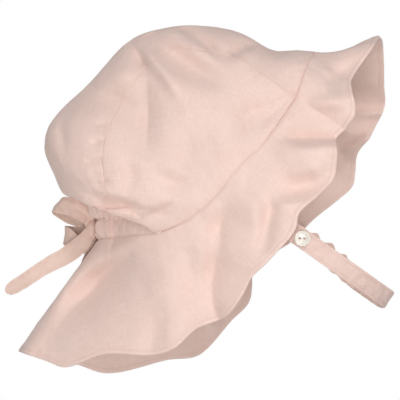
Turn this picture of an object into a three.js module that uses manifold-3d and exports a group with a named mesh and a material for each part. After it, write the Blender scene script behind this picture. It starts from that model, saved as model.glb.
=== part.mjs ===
// A child's sun hat: a crown of three panels, a wavy brim that is narrow over the face and long over the
// neck, a gathered casing at the nape with a bow, and a chin strap that buttons to a tab.
// Millimetres. +X is where the face looks, +Z is up, and the near side is -Y.
// The origin is the inside of the crown's highest point, where the hat sits on the head.
import * as THREE from "three";
import Module from "manifold-3d";

// Driving dimensions
const crownLength = 198;
const crownDrop = 153;
const crownWidth = 132;
const brimFront = 46;
const flapDrop = 102;
const clothThick = 1.2;
const brimThick = 1.6;
const tapeThick = 1.1;
const strapThick = 1.5;
const seamGap = 0.35;
const foldDepth = 5;
const casingHeight = 13;
const casingPleats = 17;
const pleatDepth = 1.1;
const tapeWidth = 12;
const tieLength = 96;
const loopLength = 34;
const knotHeight = 15;
const knotDepth = 6;
const knotWidth = 12;
const strapReach = 84;
const tabReach = 71;
const strapTilt = 35.5;
const ruffleRise = 2.6;
const buttonAcross = 11;
const buttonThick = 2.6;
const buttonHole = 1.7;

// Colours of the cloth and the shell button
const linen = new THREE.MeshStandardMaterial({ color: 0xebd0c5, roughness: 0.85, metalness: 0 });
const ribbonCloth = new THREE.MeshStandardMaterial({ color: 0xe6c9bf, roughness: 0.85, metalness: 0 });
const shell = new THREE.MeshStandardMaterial({ color: 0xeae4db, roughness: 0.3, metalness: 0 });

// A table is a list of rows with named columns
function table(names, rows) {
  return rows.map((row) => Object.fromEntries(names.map((name, k) => [name, row[k]])));
}

// Smooth value of one column at a place between the rows
function smooth(rows, column, at) {
  const last = rows.length - 1;
  let i = 0;
  while (i < last - 1 && at > rows[i + 1].at) i += 1;
  const slope = (k) => {
    const a = Math.max(0, k - 1);
    const b = Math.min(last, k + 1);
    return (rows[b][column] - rows[a][column]) / (rows[b].at - rows[a].at);
  };
  const step = rows[i + 1].at - rows[i].at;
  const t = THREE.MathUtils.clamp((at - rows[i].at) / step, 0, 1);
  const t2 = t * t;
  const t3 = t2 * t;
  const start = (2 * t3 - 3 * t2 + 1) * rows[i][column] + (t3 - 2 * t2 + t) * step * slope(i);
  const end = (3 * t2 - 2 * t3) * rows[i + 1][column] + (t3 - t2) * step * slope(i + 1);
  return start + end;
}

// Arches of the crown from the forehead to the nape. Each starts at the near seam, goes over the spine and
// ends at the far seam. Ahead and top columns are shares of crownLength and crownDrop, half of crownWidth.
// Band is the share of the rise where the side panel ends, and lift the share of the casing under the foot.
const arches = table(
  ["at", "footAhead", "footDown", "half", "topAhead", "topDown", "bulge", "band", "lift"],
  [
    [0.0, 0.406, 0.378, 0.364, 0.461, 0.133, 1.02, 0.03, 0.0],
    [0.055, 0.376, 0.44, 0.402, 0.395, 0.123, 1.03, 0.279, 0.0],
    [0.131, 0.332, 0.529, 0.439, 0.3, 0.118, 1.04, 0.579, 0.0],
    [0.215, 0.285, 0.612, 0.462, 0.19, 0.041, 1.05, 0.718, 0.0],
    [0.29, 0.24, 0.667, 0.477, 0.055, 0.003, 1.06, 0.761, 0.0],
    [0.363, 0.202, 0.716, 0.477, -0.089, 0.007, 1.06, 0.809, 0.0],
    [0.444, 0.16, 0.783, 0.477, -0.226, 0.071, 1.06, 0.768, 0.0],
    [0.54, 0.117, 0.85, 0.47, -0.362, 0.253, 1.07, 0.719, 0.0],
    [0.632, 0.074, 0.898, 0.455, -0.508, 0.443, 1.09, 0.598, 0.0],
    [0.702, 0.015, 0.946, 0.432, -0.535, 0.567, 1.12, 0.512, 0.0],
    [0.774, -0.044, 0.978, 0.402, -0.49, 0.71, 1.14, 0.482, 0.0],
    [0.831, -0.101, 0.994, 0.364, -0.463, 0.787, 1.16, 0.478, 0.04],
    [0.881, -0.152, 0.996, 0.318, -0.421, 0.811, 1.16, 0.441, 0.72],
    [0.934, -0.201, 0.996, 0.258, -0.373, 0.839, 1.12, 0.4, 0.98],
    [1.0, -0.259, 0.998, 0.159, -0.334, 0.909, 1.04, 0.25, 1.0],
  ],
);

// Centre back of the brim seam, under the knot
const nape = { ahead: -0.333, down: 1.007 };

// Folds pressed into the crown, as lines seen from the side. Depth is a share of foldDepth, width of crownLength.
const crownFolds = table(
  ["side", "fromAhead", "fromDown", "toAhead", "toDown", "width", "depth"],
  [
    [-1, -0.345, 0.325, -0.18, 0.362, 0.045, 1.0],
    [-1, -0.175, 0.24, -0.16, 0.52, 0.045, 0.45],
    [-1, -0.14, 0.07, 0.115, 0.225, 0.035, 0.5],
    [-1, -0.15, 0.13, -0.06, 0.26, 0.03, -0.35],
    [-1, 0.22, 0.34, 0.4, 0.33, 0.04, 0.5],
    [1, -0.3, 0.4, -0.1, 0.33, 0.05, 0.7],
    [1, 0.0, 0.12, 0.2, 0.3, 0.04, 0.5],
    [1, 0.2, 0.5, 0.36, 0.38, 0.04, 0.5],
    [0, -0.44, 0.4, -0.45, 0.6, 0.03, 0.35],
  ],
);

// Folds of the brim, in the same columns
const brimFolds = table(
  ["side", "fromAhead", "fromDown", "toAhead", "toDown", "width", "depth"],
  [
    [-1, 0.33, 0.53, 0.55, 0.47, 0.05, 1.1],
    [-1, 0.36, 0.74, 0.52, 0.7, 0.045, 0.9],
    [-1, 0.6, 0.18, 0.5, 0.33, 0.05, 0.6],
    [-1, 0.13, 0.84, 0.15, 1.25, 0.05, 1.0],
    [-1, 0.02, 1.02, 0.0, 1.45, 0.05, 0.5],
    [-1, -0.07, 1.12, -0.42, 1.48, 0.07, 1.3],
    [1, 0.36, 0.5, 0.56, 0.4, 0.05, 1.0],
    [1, 0.3, 0.66, 0.5, 0.62, 0.05, 0.9],
    [1, 0.14, 0.86, 0.14, 1.2, 0.05, 0.9],
    [1, -0.05, 1.08, -0.3, 1.5, 0.07, 1.2],
  ],
);

// Outer edge of the brim from the centre front to the centre back, measured from the seam there. All columns
// are shares of the brim's reach, which grows from brimFront to flapDrop: sag bends the cloth below the straight
// line in the side view, and swell bulges it sideways.
const edgeColumns = ["at", "ahead", "up", "out", "sag", "swell"];
const nearEdge = table(edgeColumns, [
  [0.0, 0.967, 0.25, 0.0, 0.085, 0.0],
  [0.035, 0.933, 0.142, 0.082, 0.06, 0.0],
  [0.07, 0.884, 0.045, 0.101, 0.03, 0.0],
  [0.11, 0.63, -0.312, 0.227, 0.0, 0.0],
  [0.15, 0.634, -0.388, 0.225, 0.0, 0.0],
  [0.19, 0.713, -0.531, 0.24, 0.0, 0.05],
  [0.235, 0.653, -0.453, 0.212, 0.0, 0.0],
  [0.28, 0.587, -0.407, 0.228, 0.0, 0.0],
  [0.325, 0.666, -0.503, 0.266, 0.0, 0.0],
  [0.37, 0.714, -0.49, 0.264, 0.0, 0.05],
  [0.415, 0.633, -0.481, 0.205, 0.0, 0.0],
  [0.46, 0.554, -0.493, 0.183, 0.0, 0.0],
  [0.495, 0.599, -0.491, 0.203, 0.0, 0.0],
  [0.53, 0.607, -0.474, 0.21, 0.0, 0.05],
  [0.57, 0.484, -0.543, 0.176, 0.0, 0.0],
  [0.61, 0.419, -0.569, 0.157, 0.0, 0.0],
  [0.64, 0.411, -0.648, 0.174, 0.0, 0.0],
  [0.67, 0.377, -0.733, 0.195, 0.0, 0.05],
  [0.74, 0.302, -0.731, 0.209, 0.0, 0.0],
  [0.775, 0.227, -0.837, 0.22, 0.0, 0.0],
  [0.81, 0.141, -0.866, 0.226, 0.0, 0.05],
  [0.87, -0.089, -0.834, 0.198, 0.0, 0.0],
  [0.92, -0.271, -0.905, 0.183, 0.0, 0.05],
  [0.955, -0.375, -0.85, 0.157, 0.02, 0.0],
  [0.98, -0.515, -0.796, 0.1, 0.02, 0.0],
  [1.0, -0.595, -0.778, 0.0, 0.02, 0.0],
]);
const farEdge = table(edgeColumns, [
  [0.0, 0.967, 0.25, 0.0, 0.085, 0.0],
  [0.03, 1.005, 0.235, 0.07, 0.06, 0.0],
  [0.09, 1.015, 0.059, 0.089, 0.03, 0.0],
  [0.135, 1.014, -0.157, 0.176, 0.0, 0.0],
  [0.18, 1.022, -0.248, 0.217, 0.0, 0.05],
  [0.23, 0.87, -0.355, 0.181, 0.0, 0.0],
  [0.28, 0.73, -0.363, 0.228, 0.0, 0.0],
  [0.325, 0.757, -0.417, 0.266, 0.0, 0.0],
  [0.37, 0.784, -0.405, 0.248, 0.0, 0.05],
  [0.41, 0.661, -0.416, 0.209, 0.0, 0.0],
  [0.46, 0.582, -0.399, 0.183, 0.0, 0.0],
  [0.53, 0.443, -0.427, 0.197, 0.0, 0.05],
  [0.6, 0.272, -0.383, 0.176, 0.0, 0.0],
  [0.63, 0.296, -0.437, 0.192, 0.0, 0.0],
  [0.66, 0.37, -0.497, 0.199, 0.0, 0.05],
  [0.69, 0.41, -0.574, 0.2, 0.0, 0.0],
  [0.72, 0.348, -0.672, 0.208, 0.0, 0.0],
  [0.78, 0.258, -0.883, 0.222, 0.0, 0.05],
  [0.84, 0.13, -0.894, 0.266, 0.0, 0.0],
  [0.9, -0.138, -0.965, 0.223, 0.0, 0.05],
  [0.95, -0.308, -0.87, 0.173, 0.02, 0.0],
  [0.98, -0.52, -0.815, 0.09, 0.02, 0.0],
  [1.0, -0.595, -0.778, 0.0, 0.02, 0.0],
]);

// Place in millimetres of a share of the crown's length and drop
function sidePlace(ahead, down, y) {
  return new THREE.Vector3(ahead * crownLength, y, clothThick - down * crownDrop);
}

// Depth of the folds that cross a point, seen from the side. A fold of one side fades in away from the spine.
const foldFade = 20;
function foldAt(folds, point) {
  const ahead = point.x / crownLength;
  const down = (clothThick - point.z) / crownDrop;
  let depth = 0;
  for (const fold of folds) {
    const reach = fold.side === 0 ? 1 : THREE.MathUtils.smoothstep(point.y * fold.side, 0, foldFade);
    const dx = fold.toAhead - fold.fromAhead;
    const dz = fold.toDown - fold.fromDown;
    const px = ahead - fold.fromAhead;
    const pz = down - fold.fromDown;
    const t = THREE.MathUtils.clamp((px * dx + pz * dz) / (dx * dx + dz * dz), 0, 1);
    const away = Math.hypot(px - t * dx, (pz - t * dz) * (crownDrop / crownLength));
    depth += reach * fold.depth * Math.exp(-((away / fold.width) ** 2));
  }
  return depth * foldDepth;
}

// Normal of a surface by small steps, pointing out of the hat
function normalOf(surface, a, b, step) {
  const across = surface(a + step, b).sub(surface(a - step, b));
  const along = surface(a, b + step).sub(surface(a, b - step));
  return along.cross(across).normalize();
}

// Angle along an arch at a share of its rise, negative below the widest point
function archAngle(at, rise) {
  const low = Math.sqrt(1 - 1 / smooth(arches, "bulge", at) ** 2);
  return Math.asin(THREE.MathUtils.clamp(rise * (1 + low) - low, -1, 1));
}

// Point of the smooth crown: the angle runs from the near seam over the spine to the far seam
function plainCrown(at, angle) {
  const low = Math.sqrt(1 - 1 / smooth(arches, "bulge", at) ** 2);
  const half = smooth(arches, "half", at) * crownWidth;
  const lift = smooth(arches, "lift", at) * casingHeight;
  const rise = (Math.cos(angle) + low) / (1 + low);
  const foot = sidePlace(smooth(arches, "footAhead", at), smooth(arches, "footDown", at), 0);
  const top = sidePlace(smooth(arches, "topAhead", at), smooth(arches, "topDown", at), 0);
  foot.z += lift;
  const point = foot.lerp(top, rise);
  point.y = half * smooth(arches, "bulge", at) * Math.sin(angle);
  return point;
}

// Point of the crown with its folds, which fade out towards the brim's seam
function crownPoint(at, angle) {
  const point = plainCrown(at, angle);
  const normal = normalOf(plainCrown, at, angle, 0.004);
  const rise = 1 - Math.abs(angle) / footAngle(at);
  const ends = THREE.MathUtils.smoothstep(at, 0, 0.1) * THREE.MathUtils.smoothstep(1 - at, 0, 0.06);
  const fade = ends * THREE.MathUtils.smoothstep(rise, 0, 0.18);
  return point.addScaledVector(normal, -foldAt(crownFolds, point) * fade);
}

// Seam between crown and brim on the near side, from the centre front to the centre back. It goes down the
// front arch, along the feet of the arches and round the nape, in as many steps as these say.
const frontSteps = 40;
const footSteps = 100;
const napeSteps = 24;
function seamLine() {
  const points = [];
  const front = Math.PI / 2 - archAngle(0, 0);
  for (let i = 0; i < frontSteps; i += 1) points.push(plainCrown(0, (-front * i) / frontSteps));
  for (let i = 0; i <= footSteps; i += 1) {
    const at = i / footSteps;
    const half = smooth(arches, "half", at) * crownWidth;
    points.push(sidePlace(smooth(arches, "footAhead", at), smooth(arches, "footDown", at), -half));
  }
  const last = points[points.length - 1];
  const back = sidePlace(nape.ahead, nape.down, 0);
  for (let i = 1; i <= napeSteps; i += 1) {
    const turn = (i / napeSteps) * (Math.PI / 2);
    const point = last.clone().lerp(back, Math.sin(turn));
    point.y = last.y * Math.cos(turn);
    points.push(point);
  }
  return points;
}

// The same line by its own length, from 0 at the front to 1 at the back
const seamPoints = seamLine();
const seamReach = [0];
for (let i = 1; i < seamPoints.length; i += 1) {
  seamReach.push(seamReach[i - 1] + seamPoints[i].distanceTo(seamPoints[i - 1]));
}
const seamLength = seamReach[seamReach.length - 1];
function seamAt(at) {
  const reach = THREE.MathUtils.clamp(Math.abs(at), 0, 1) * seamLength;
  let i = 0;
  while (i < seamReach.length - 2 && seamReach[i + 1] < reach) i += 1;
  const t = (reach - seamReach[i]) / (seamReach[i + 1] - seamReach[i]);
  return seamPoints[i].clone().lerp(seamPoints[i + 1], t);
}

// Smooth brim: at runs from -1 at the centre back over the near side to 0 at the front and on to 1
function plainBrim(at, out) {
  const turn = THREE.MathUtils.euclideanModulo(at + 1, 2) - 1;
  const side = turn <= 0 ? -1 : 1;
  const rows = side < 0 ? nearEdge : farEdge;
  const place = Math.abs(turn);
  const reach = THREE.MathUtils.lerp(brimFront, flapDrop, THREE.MathUtils.smoothstep(place, 0, 1));
  const point = seamAt(place);
  const ahead = smooth(rows, "ahead", place);
  const up = smooth(rows, "up", place);
  const sag = 6.75 * out * (1 - out) ** 2 * smooth(rows, "sag", place);
  const swell = Math.sin(Math.PI * out) * smooth(rows, "swell", place);
  point.x += reach * (out * ahead + sag * up);
  point.z += reach * (out * up - sag * ahead);
  point.y -= reach * (out * smooth(rows, "out", place) + swell);
  if (side > 0) point.y = -point.y;
  return point;
}

// Brim with its folds, which fade out towards the seam
function brimPoint(at, out) {
  const point = plainBrim(at, out);
  const normal = normalOf(plainBrim, at, THREE.MathUtils.clamp(out, 0.01, 0.99), 0.004);
  const fade = THREE.MathUtils.smoothstep(out, 0.02, 0.45);
  return point.addScaledVector(normal, -foldAt(brimFolds, point) * fade);
}

// Closed mesh from two grids of points that face each other, wrapped round if the rows close on themselves
function closedWall(outer, inner, wrapped) {
  const rows = outer.length;
  const cols = outer[0].length;
  const positions = [];
  const faces = [];
  for (const grid of [outer, inner]) {
    for (const row of grid) for (const p of row) positions.push(p.x, p.y, p.z);
  }
  const id = (layer, i, j) => layer * rows * cols + (i % rows) * cols + j;
  const quad = (a, b, c, d) => faces.push(a, b, c, a, c, d);
  const steps = wrapped ? rows : rows - 1;
  for (let i = 0; i < steps; i += 1) {
    for (let j = 0; j < cols - 1; j += 1) {
      quad(id(0, i, j), id(0, i + 1, j), id(0, i + 1, j + 1), id(0, i, j + 1));
      quad(id(1, i, j), id(1, i, j + 1), id(1, i + 1, j + 1), id(1, i + 1, j));
    }
    quad(id(0, i, 0), id(1, i, 0), id(1, i + 1, 0), id(0, i + 1, 0));
    const e = cols - 1;
    quad(id(0, i, e), id(0, i + 1, e), id(1, i + 1, e), id(1, i, e));
  }
  if (!wrapped) {
    const e = rows - 1;
    for (let j = 0; j < cols - 1; j += 1) {
      quad(id(0, 0, j), id(0, 0, j + 1), id(1, 0, j + 1), id(1, 0, j));
      quad(id(0, e, j), id(1, e, j), id(1, e, j + 1), id(0, e, j + 1));
    }
  }
  return outward(positions, faces);
}

// Geometry whose faces point outwards, turned round where its volume comes out negative
function outward(positions, faces) {
  let volume = 0;
  const at = (k) => new THREE.Vector3(positions[3 * k], positions[3 * k + 1], positions[3 * k + 2]);
  for (let i = 0; i < faces.length; i += 3) {
    volume += at(faces[i]).dot(at(faces[i + 1]).cross(at(faces[i + 2])));
  }
  const turned = volume >= 0 ? faces : faces.slice().reverse();
  const geometry = new THREE.BufferGeometry();
  geometry.setAttribute("position", new THREE.Float32BufferAttribute(positions, 3));
  geometry.setIndex(turned);
  geometry.computeVertexNormals();
  return geometry;
}

// Cloth wall between a surface and the same surface set in by the cloth's thickness
function clothWall(surface, aStops, bStops, thick, wrapped) {
  const outer = [];
  const inner = [];
  for (const a of aStops) {
    const faceRow = [];
    const backRow = [];
    for (const b of bStops) {
      const [u, v] = typeof b === "function" ? [a, b(a)] : [a, b];
      const p = surface(u, v);
      const normal = normalOf(surface, u, v, 0.002);
      faceRow.push(p);
      backRow.push(p.clone().addScaledVector(normal, -thick));
    }
    outer.push(faceRow);
    inner.push(backRow);
  }
  return closedWall(outer, inner, wrapped);
}

// Even stops from one number to another
function stops(from, to, count) {
  return Array.from({ length: count + 1 }, (_, i) => from + ((to - from) * i) / count);
}

// Angle of the band seam on the near side, measured from the spine, and half a seam gap along the arch
function bandAngle(at) {
  return Math.PI / 2 - archAngle(at, smooth(arches, "band", at));
}
function footAngle(at) {
  return Math.PI / 2 - archAngle(at, 0);
}
function gapAngle(at) {
  return seamGap / (smooth(arches, "half", at) * crownWidth);
}

// Centre band of the crown, from the forehead over the head to the nape
const bandRows = stops(0.002, 1.0, 34);
const bandCols = stops(-1, 1, 12).map((share) => (at) => share * (bandAngle(at) - gapAngle(at) / 2));
const bandGeometry = clothWall(crownPoint, bandRows, bandCols, clothThick, false);

// Side panel, on the near side (-1) or the far side (1)
function panelGeometry(side) {
  const cols = stops(0, 1, 9).map((share) => (at) => {
    const foot = footAngle(at) - gapAngle(at) * 0.2;
    const seam = bandAngle(at) + gapAngle(at) / 2;
    return side * THREE.MathUtils.lerp(foot, seam, share);
  });
  return clothWall(crownPoint, bandRows, cols, clothThick, false);
}

// Brim, one ring whose seam edge keeps a gap to the crown
const brimStops = stops(-1, 1, 88).slice(0, 88);
const brimOut = [0, 0.12, 0.25, 0.38, 0.52, 0.66, 0.79, 0.9, 1];
const brimEdgeGap = (at) => seamGap / THREE.MathUtils.lerp(brimFront, flapDrop, Math.abs(at) ** 2);
const brimCols = brimOut.map((share) => (at) => brimEdgeGap(at) * 2 * (1 - share) + share);
const brimGeometry = clothWall(brimPoint, brimStops, brimCols, brimThick, true);

// Middle line of a casing edge: the near half from a place on the crown's arches to the centre back, mirrored
function mirrored(half) {
  const far = half.slice(0, -1).map((p) => new THREE.Vector3(p.x, -p.y, p.z));
  return half.concat(far.reverse());
}
function alongLine(points, share) {
  const place = THREE.MathUtils.clamp(share, 0, 1) * (points.length - 1);
  const i = Math.min(points.length - 2, Math.floor(place));
  return points[i].clone().lerp(points[i + 1], place - i);
}
function evenly(points, count) {
  const reach = [0];
  for (let i = 1; i < points.length; i += 1) reach.push(reach[i - 1] + points[i].distanceTo(points[i - 1]));
  return stops(0, reach[reach.length - 1], count).map((want) => {
    let i = 0;
    while (i < reach.length - 2 && reach[i + 1] < want) i += 1;
    return points[i].clone().lerp(points[i + 1], (want - reach[i]) / (reach[i + 1] - reach[i]));
  });
}

// Casing at the nape: from the brim's seam up to the crown's gathered edge, pleated by the cord inside it
const casingStart = 0.846;
function crownEdge() {
  const points = stops(casingStart, 1, 30).map((at) => plainCrown(at, -footAngle(at)));
  for (const angle of stops(-footAngle(1), 0, 16).slice(1)) points.push(plainCrown(1, angle));
  return points;
}
const casingSteps = 60;
const casingTop = mirrored(evenly(crownEdge(), casingSteps));
const firstSeamPoint = frontSteps + Math.round(casingStart * footSteps);
const casingFoot = mirrored(evenly(seamPoints.slice(firstSeamPoint), casingSteps));
function casingPoint(share, rise) {
  const foot = alongLine(casingFoot, share);
  const top = alongLine(casingTop, share);
  const point = foot.clone().lerp(top, rise);
  const ahead = alongLine(casingFoot, share - 0.02);
  const outwards = alongLine(casingFoot, share + 0.02).sub(ahead).cross(new THREE.Vector3(0, 0, -1));
  const tall = foot.distanceTo(top) / casingHeight;
  const pleat = Math.cos(2 * Math.PI * casingPleats * share) * (0.35 + 0.65 * Math.sin(7 * share + 1) ** 2);
  const swell = Math.sin(Math.PI * rise) * (1 + pleat) * pleatDepth * tall;
  return point.addScaledVector(outwards.normalize(), swell);
}
function casingRise(share, rise) {
  const tall = alongLine(casingFoot, share).distanceTo(alongLine(casingTop, share));
  const gap = Math.min(0.3, (1.6 * seamGap) / tall);
  return THREE.MathUtils.lerp(gap, 1 - gap, rise);
}
const casingCols = stops(0, 1, 3).map((rise) => (share) => casingRise(share, rise));
const casingGeometry = clothWall(casingPoint, stops(0.005, 0.995, 56), casingCols, clothThick, false);

// Flat tape along a line of points. Each row gives the tape's middle, the way its width lies and its width.
function tape(middles, widthWays, widths, thick, steps) {
  const curve = new THREE.CatmullRomCurve3(middles, false, "centripetal");
  const rows = middles.map((_, k) => ({ at: k / (middles.length - 1), wide: widths[k], way: widthWays[k] }));
  const ways = rows.map((row) => ({ at: row.at, x: row.way.x, y: row.way.y, z: row.way.z }));
  const outer = [];
  const inner = [];
  for (const at of stops(0, 1, steps)) {
    const middle = curve.getPoint(at);
    const way = new THREE.Vector3(smooth(ways, "x", at), smooth(ways, "y", at), smooth(ways, "z", at));
    const ahead = curve.getTangent(at);
    way.addScaledVector(ahead, -way.dot(ahead)).normalize();
    const normal = ahead.clone().cross(way).normalize();
    const half = smooth(rows, "wide", at) / 2;
    const edges = [-half, half].map((shift) => middle.clone().addScaledVector(way, shift));
    outer.push(edges.map((p) => p.clone().addScaledVector(normal, thick / 2)));
    inner.push(edges.map((p) => p.clone().addScaledVector(normal, -thick / 2)));
  }
  return closedWall(outer, inner, false);
}

// Bow at the nape. Places are shares of loopLength or tieLength from the knot, and the way the width lies.
const bowColumns = ["ahead", "up", "side", "wayAhead", "wayUp", "wide"];
const nearLoop = table(bowColumns, [
  [0.0, 0.03, -0.04, -0.75, -0.65, 0.6],
  [-0.04, 0.225, -0.12, -0.7, -0.7, 0.85],
  [-0.17, 0.325, -0.24, -0.65, -0.75, 0.92],
  [-0.42, 0.435, -0.25, -0.6, -0.8, 0.98],
  [-0.67, 0.505, -0.18, -0.57, -0.82, 1.0],
  [-0.75, 0.495, 0.0, -0.57, -0.82, 1.0],
  [-0.69, 0.435, 0.16, -0.57, -0.82, 1.0],
  [-0.49, 0.305, 0.2, -0.5, -0.87, 0.97],
  [-0.23, 0.215, 0.16, -0.5, -0.87, 0.9],
  [-0.02, 0.06, 0.07, -0.6, -0.8, 0.6],
]);
const farLoop = table(bowColumns, [
  [0.0, 0.02, 0.08, 0.0, -1.0, 0.65],
  [-0.25, -0.07, 0.26, 0.0, -1.0, 0.95],
  [-0.48, -0.1, 0.38, -0.05, -1.0, 1.0],
  [-0.62, -0.09, 0.33, -0.1, -1.0, 1.0],
  [-0.64, -0.1, 0.2, -0.1, -1.0, 1.0],
  [-0.56, -0.14, 0.09, -0.1, -1.0, 1.0],
  [-0.39, -0.29, 0.03, -0.1, -1.0, 0.9],
  [-0.2, -0.36, 0.0, 0.2, -0.97, 0.8],
  [0.0, -0.1, 0.0, 0.4, -0.9, 0.7],
]);
const nearTail = table(bowColumns, [
  [0.0, -0.01, -0.05, 0.6, -0.8, 0.6],
  [-0.045, -0.085, -0.075, 0.6, -0.8, 0.88],
  [-0.12, -0.15, -0.07, 0.5, -0.87, 1.0],
  [-0.19, -0.204, -0.08, 0.45, -0.89, 0.95],
  [-0.29, -0.254, -0.08, 0.47, -0.88, 0.9],
  [-0.38, -0.304, -0.07, 0.47, -0.88, 0.82],
  [-0.48, -0.374, -0.06, 0.5, -0.86, 0.75],
  [-0.59, -0.434, -0.04, 0.55, -0.83, 0.68],
  [-0.64, -0.464, -0.03, 0.6, -0.8, 0.45],
]);
// The knot sits behind the middle of the casing. These are shares of knotDepth and casingHeight.
const knotSeat = { behind: 0.9, up: 0.6 };
const knotShift = new THREE.Vector3(-knotSeat.behind * knotDepth, 0, knotSeat.up * casingHeight);
const knotPlace = sidePlace(nape.ahead, nape.down, 0).add(knotShift);
function bowPiece(rows, size) {
  const placed = (r) => new THREE.Vector3(r.ahead, r.side, r.up).multiplyScalar(size).add(knotPlace);
  const middles = rows.map(placed);
  const ways = rows.map((r) => new THREE.Vector3(r.wayAhead, 0, r.wayUp));
  return tape(middles, ways, rows.map((r) => r.wide * tapeWidth), tapeThick, 3 * rows.length);
}

// Second tail, which lies on the outside of the flap on the far side. Its start is in shares of tapeWidth from
// the knot, and it keeps clear of the flap, a little more near the knot.
const farTailStart = [1 / 24, 13 / 24, -1 / 3];
const tailClear = 2.2;
const tailRise = 1.2;
function farTailGeometry() {
  const middles = [knotPlace.clone().add(new THREE.Vector3(...farTailStart).multiplyScalar(tapeWidth))];
  const ways = [new THREE.Vector3(0, 0.7, -0.7)];
  for (const share of stops(0, 1, 6)) {
    const at = THREE.MathUtils.lerp(0.975, 0.94, share);
    const out = THREE.MathUtils.lerp(0.1, 0.72, share);
    const normal = normalOf(brimPoint, at, out, 0.01);
    middles.push(brimPoint(at, out).addScaledVector(normal, tailClear + tailRise * (1 - share)));
    ways.push(brimPoint(at - 0.02, out).sub(brimPoint(at + 0.02, out)).normalize());
  }
  const widths = [0.75, 1, 1, 0.97, 0.94, 0.9, 0.85, 0.6].map((wide) => wide * tapeWidth);
  return tape(middles, ways, widths, tapeThick, 22);
}

// Solids for cutting one piece back from another
const wasm = await Module();
wasm.setup();
function solidOf(geometry) {
  const vertProperties = new Float32Array(geometry.getAttribute("position").array);
  const triVerts = new Uint32Array(geometry.getIndex().array);
  return new wasm.Manifold(new wasm.Mesh({ numProp: 3, vertProperties, triVerts }));
}
function geometryOf(solid) {
  const mesh = solid.getMesh();
  const geometry = new THREE.BufferGeometry();
  geometry.setAttribute("position", new THREE.Float32BufferAttribute(Array.from(mesh.vertProperties), 3));
  geometry.setIndex(Array.from(mesh.triVerts));
  geometry.computeVertexNormals();
  return geometry;
}
function largestBody(solid) {
  const bodies = solid.decompose();
  return bodies.reduce((best, body) => (body.volume() > best.volume() ? body : best), bodies[0]);
}

// Knot: a wrapped lump of tape, grown a little where it cuts the loops and tails back
function knotGeometry(grow) {
  const halves = { ahead: knotDepth / 2 + grow, side: knotWidth / 2 + grow, up: knotHeight / 2 - 1 + grow };
  const rings = 10;
  const around = 14;
  const positions = [];
  const faces = [];
  for (let i = 1; i < rings; i += 1) {
    const lat = (Math.PI * i) / rings;
    for (let j = 0; j < around; j += 1) {
      const turn = (2 * Math.PI * j) / around;
      const pinch = 1 - 0.1 * Math.cos(3 * turn) * Math.sin(lat);
      const box = (value) => Math.sign(value) * Math.abs(value) ** 0.75;
      const x = halves.ahead * box(Math.cos(turn) * Math.sin(lat)) * (grow > 0 ? 1 : pinch);
      const y = halves.side * box(Math.sin(turn) * Math.sin(lat)) * (grow > 0 ? 1 : pinch);
      positions.push(x, y, halves.up * box(Math.cos(lat)));
    }
  }
  const ends = positions.length / 3;
  positions.push(0, 0, halves.up, 0, 0, -halves.up);
  for (let j = 0; j < around; j += 1) {
    const next = (j + 1) % around;
    faces.push(ends, j, next);
    for (let i = 0; i < rings - 2; i += 1) {
      const a = i * around;
      const b = a + around;
      faces.push(a + j, b + j, b + next, a + j, b + next, a + next);
    }
    const base = (rings - 2) * around;
    faces.push(ends + 1, base + next, base + j);
  }
  const tilt = new THREE.Matrix4().makeRotationY(0.12);
  const geometry = outward(positions, faces).applyMatrix4(tilt);
  return geometry.translate(knotPlace.x, knotPlace.y, knotPlace.z);
}
const knotCutter = solidOf(knotGeometry(1.0));
function cutByKnot(geometry) {
  return geometryOf(largestBody(solidOf(geometry).subtract(knotCutter)));
}

// Chin strap: a whole loop from the button on the near side, under the chin and up to the far seam. Along is a
// share of strapReach from the seam, side a share of crownWidth, and ruffle swells the elastic stretch.
const strapRows = table(
  ["along", "side", "wide", "ruffle"],
  [
    [0.7, -0.5, 0.75, 0],
    [0.71, -0.505, 1.0, 0],
    [0.79, -0.51, 1.0, 0],
    [0.9, -0.495, 1.0, 0],
    [1.02, -0.46, 1.0, 0],
    [1.2, -0.4, 1.0, 0],
    [1.38, -0.31, 1.0, 0],
    [1.52, -0.2, 1.0, 0],
    [1.6, -0.08, 1.0, 0],
    [1.61, 0.04, 1.0, 0],
    [1.56, 0.15, 1.0, 0],
    [1.42, 0.28, 1.0, 0],
    [1.24, 0.38, 1.0, 0.1],
    [1.08, 0.44, 1.0, 0.9],
    [0.9, 0.475, 1.0, 1.0],
    [0.72, 0.48, 1.0, 0.9],
    [0.5, 0.47, 1.0, 0.1],
    [0.36, 0.467, 1.0, 0],
  ],
);
const strapSeat = 0.528;
function strapFrame() {
  const seat = seamAt(strapSeat);
  const tilt = THREE.MathUtils.degToRad(strapTilt);
  return {
    seat: new THREE.Vector3(seat.x, 0, seat.z),
    down: new THREE.Vector3(Math.cos(tilt), 0, -Math.sin(tilt)),
    across: new THREE.Vector3(Math.sin(tilt), 0, Math.cos(tilt)),
  };
}
function strapPoint(along, side) {
  const { seat, down } = strapFrame();
  const point = seat.clone().addScaledVector(down, along * strapReach);
  point.y = side * crownWidth;
  return point;
}
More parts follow.
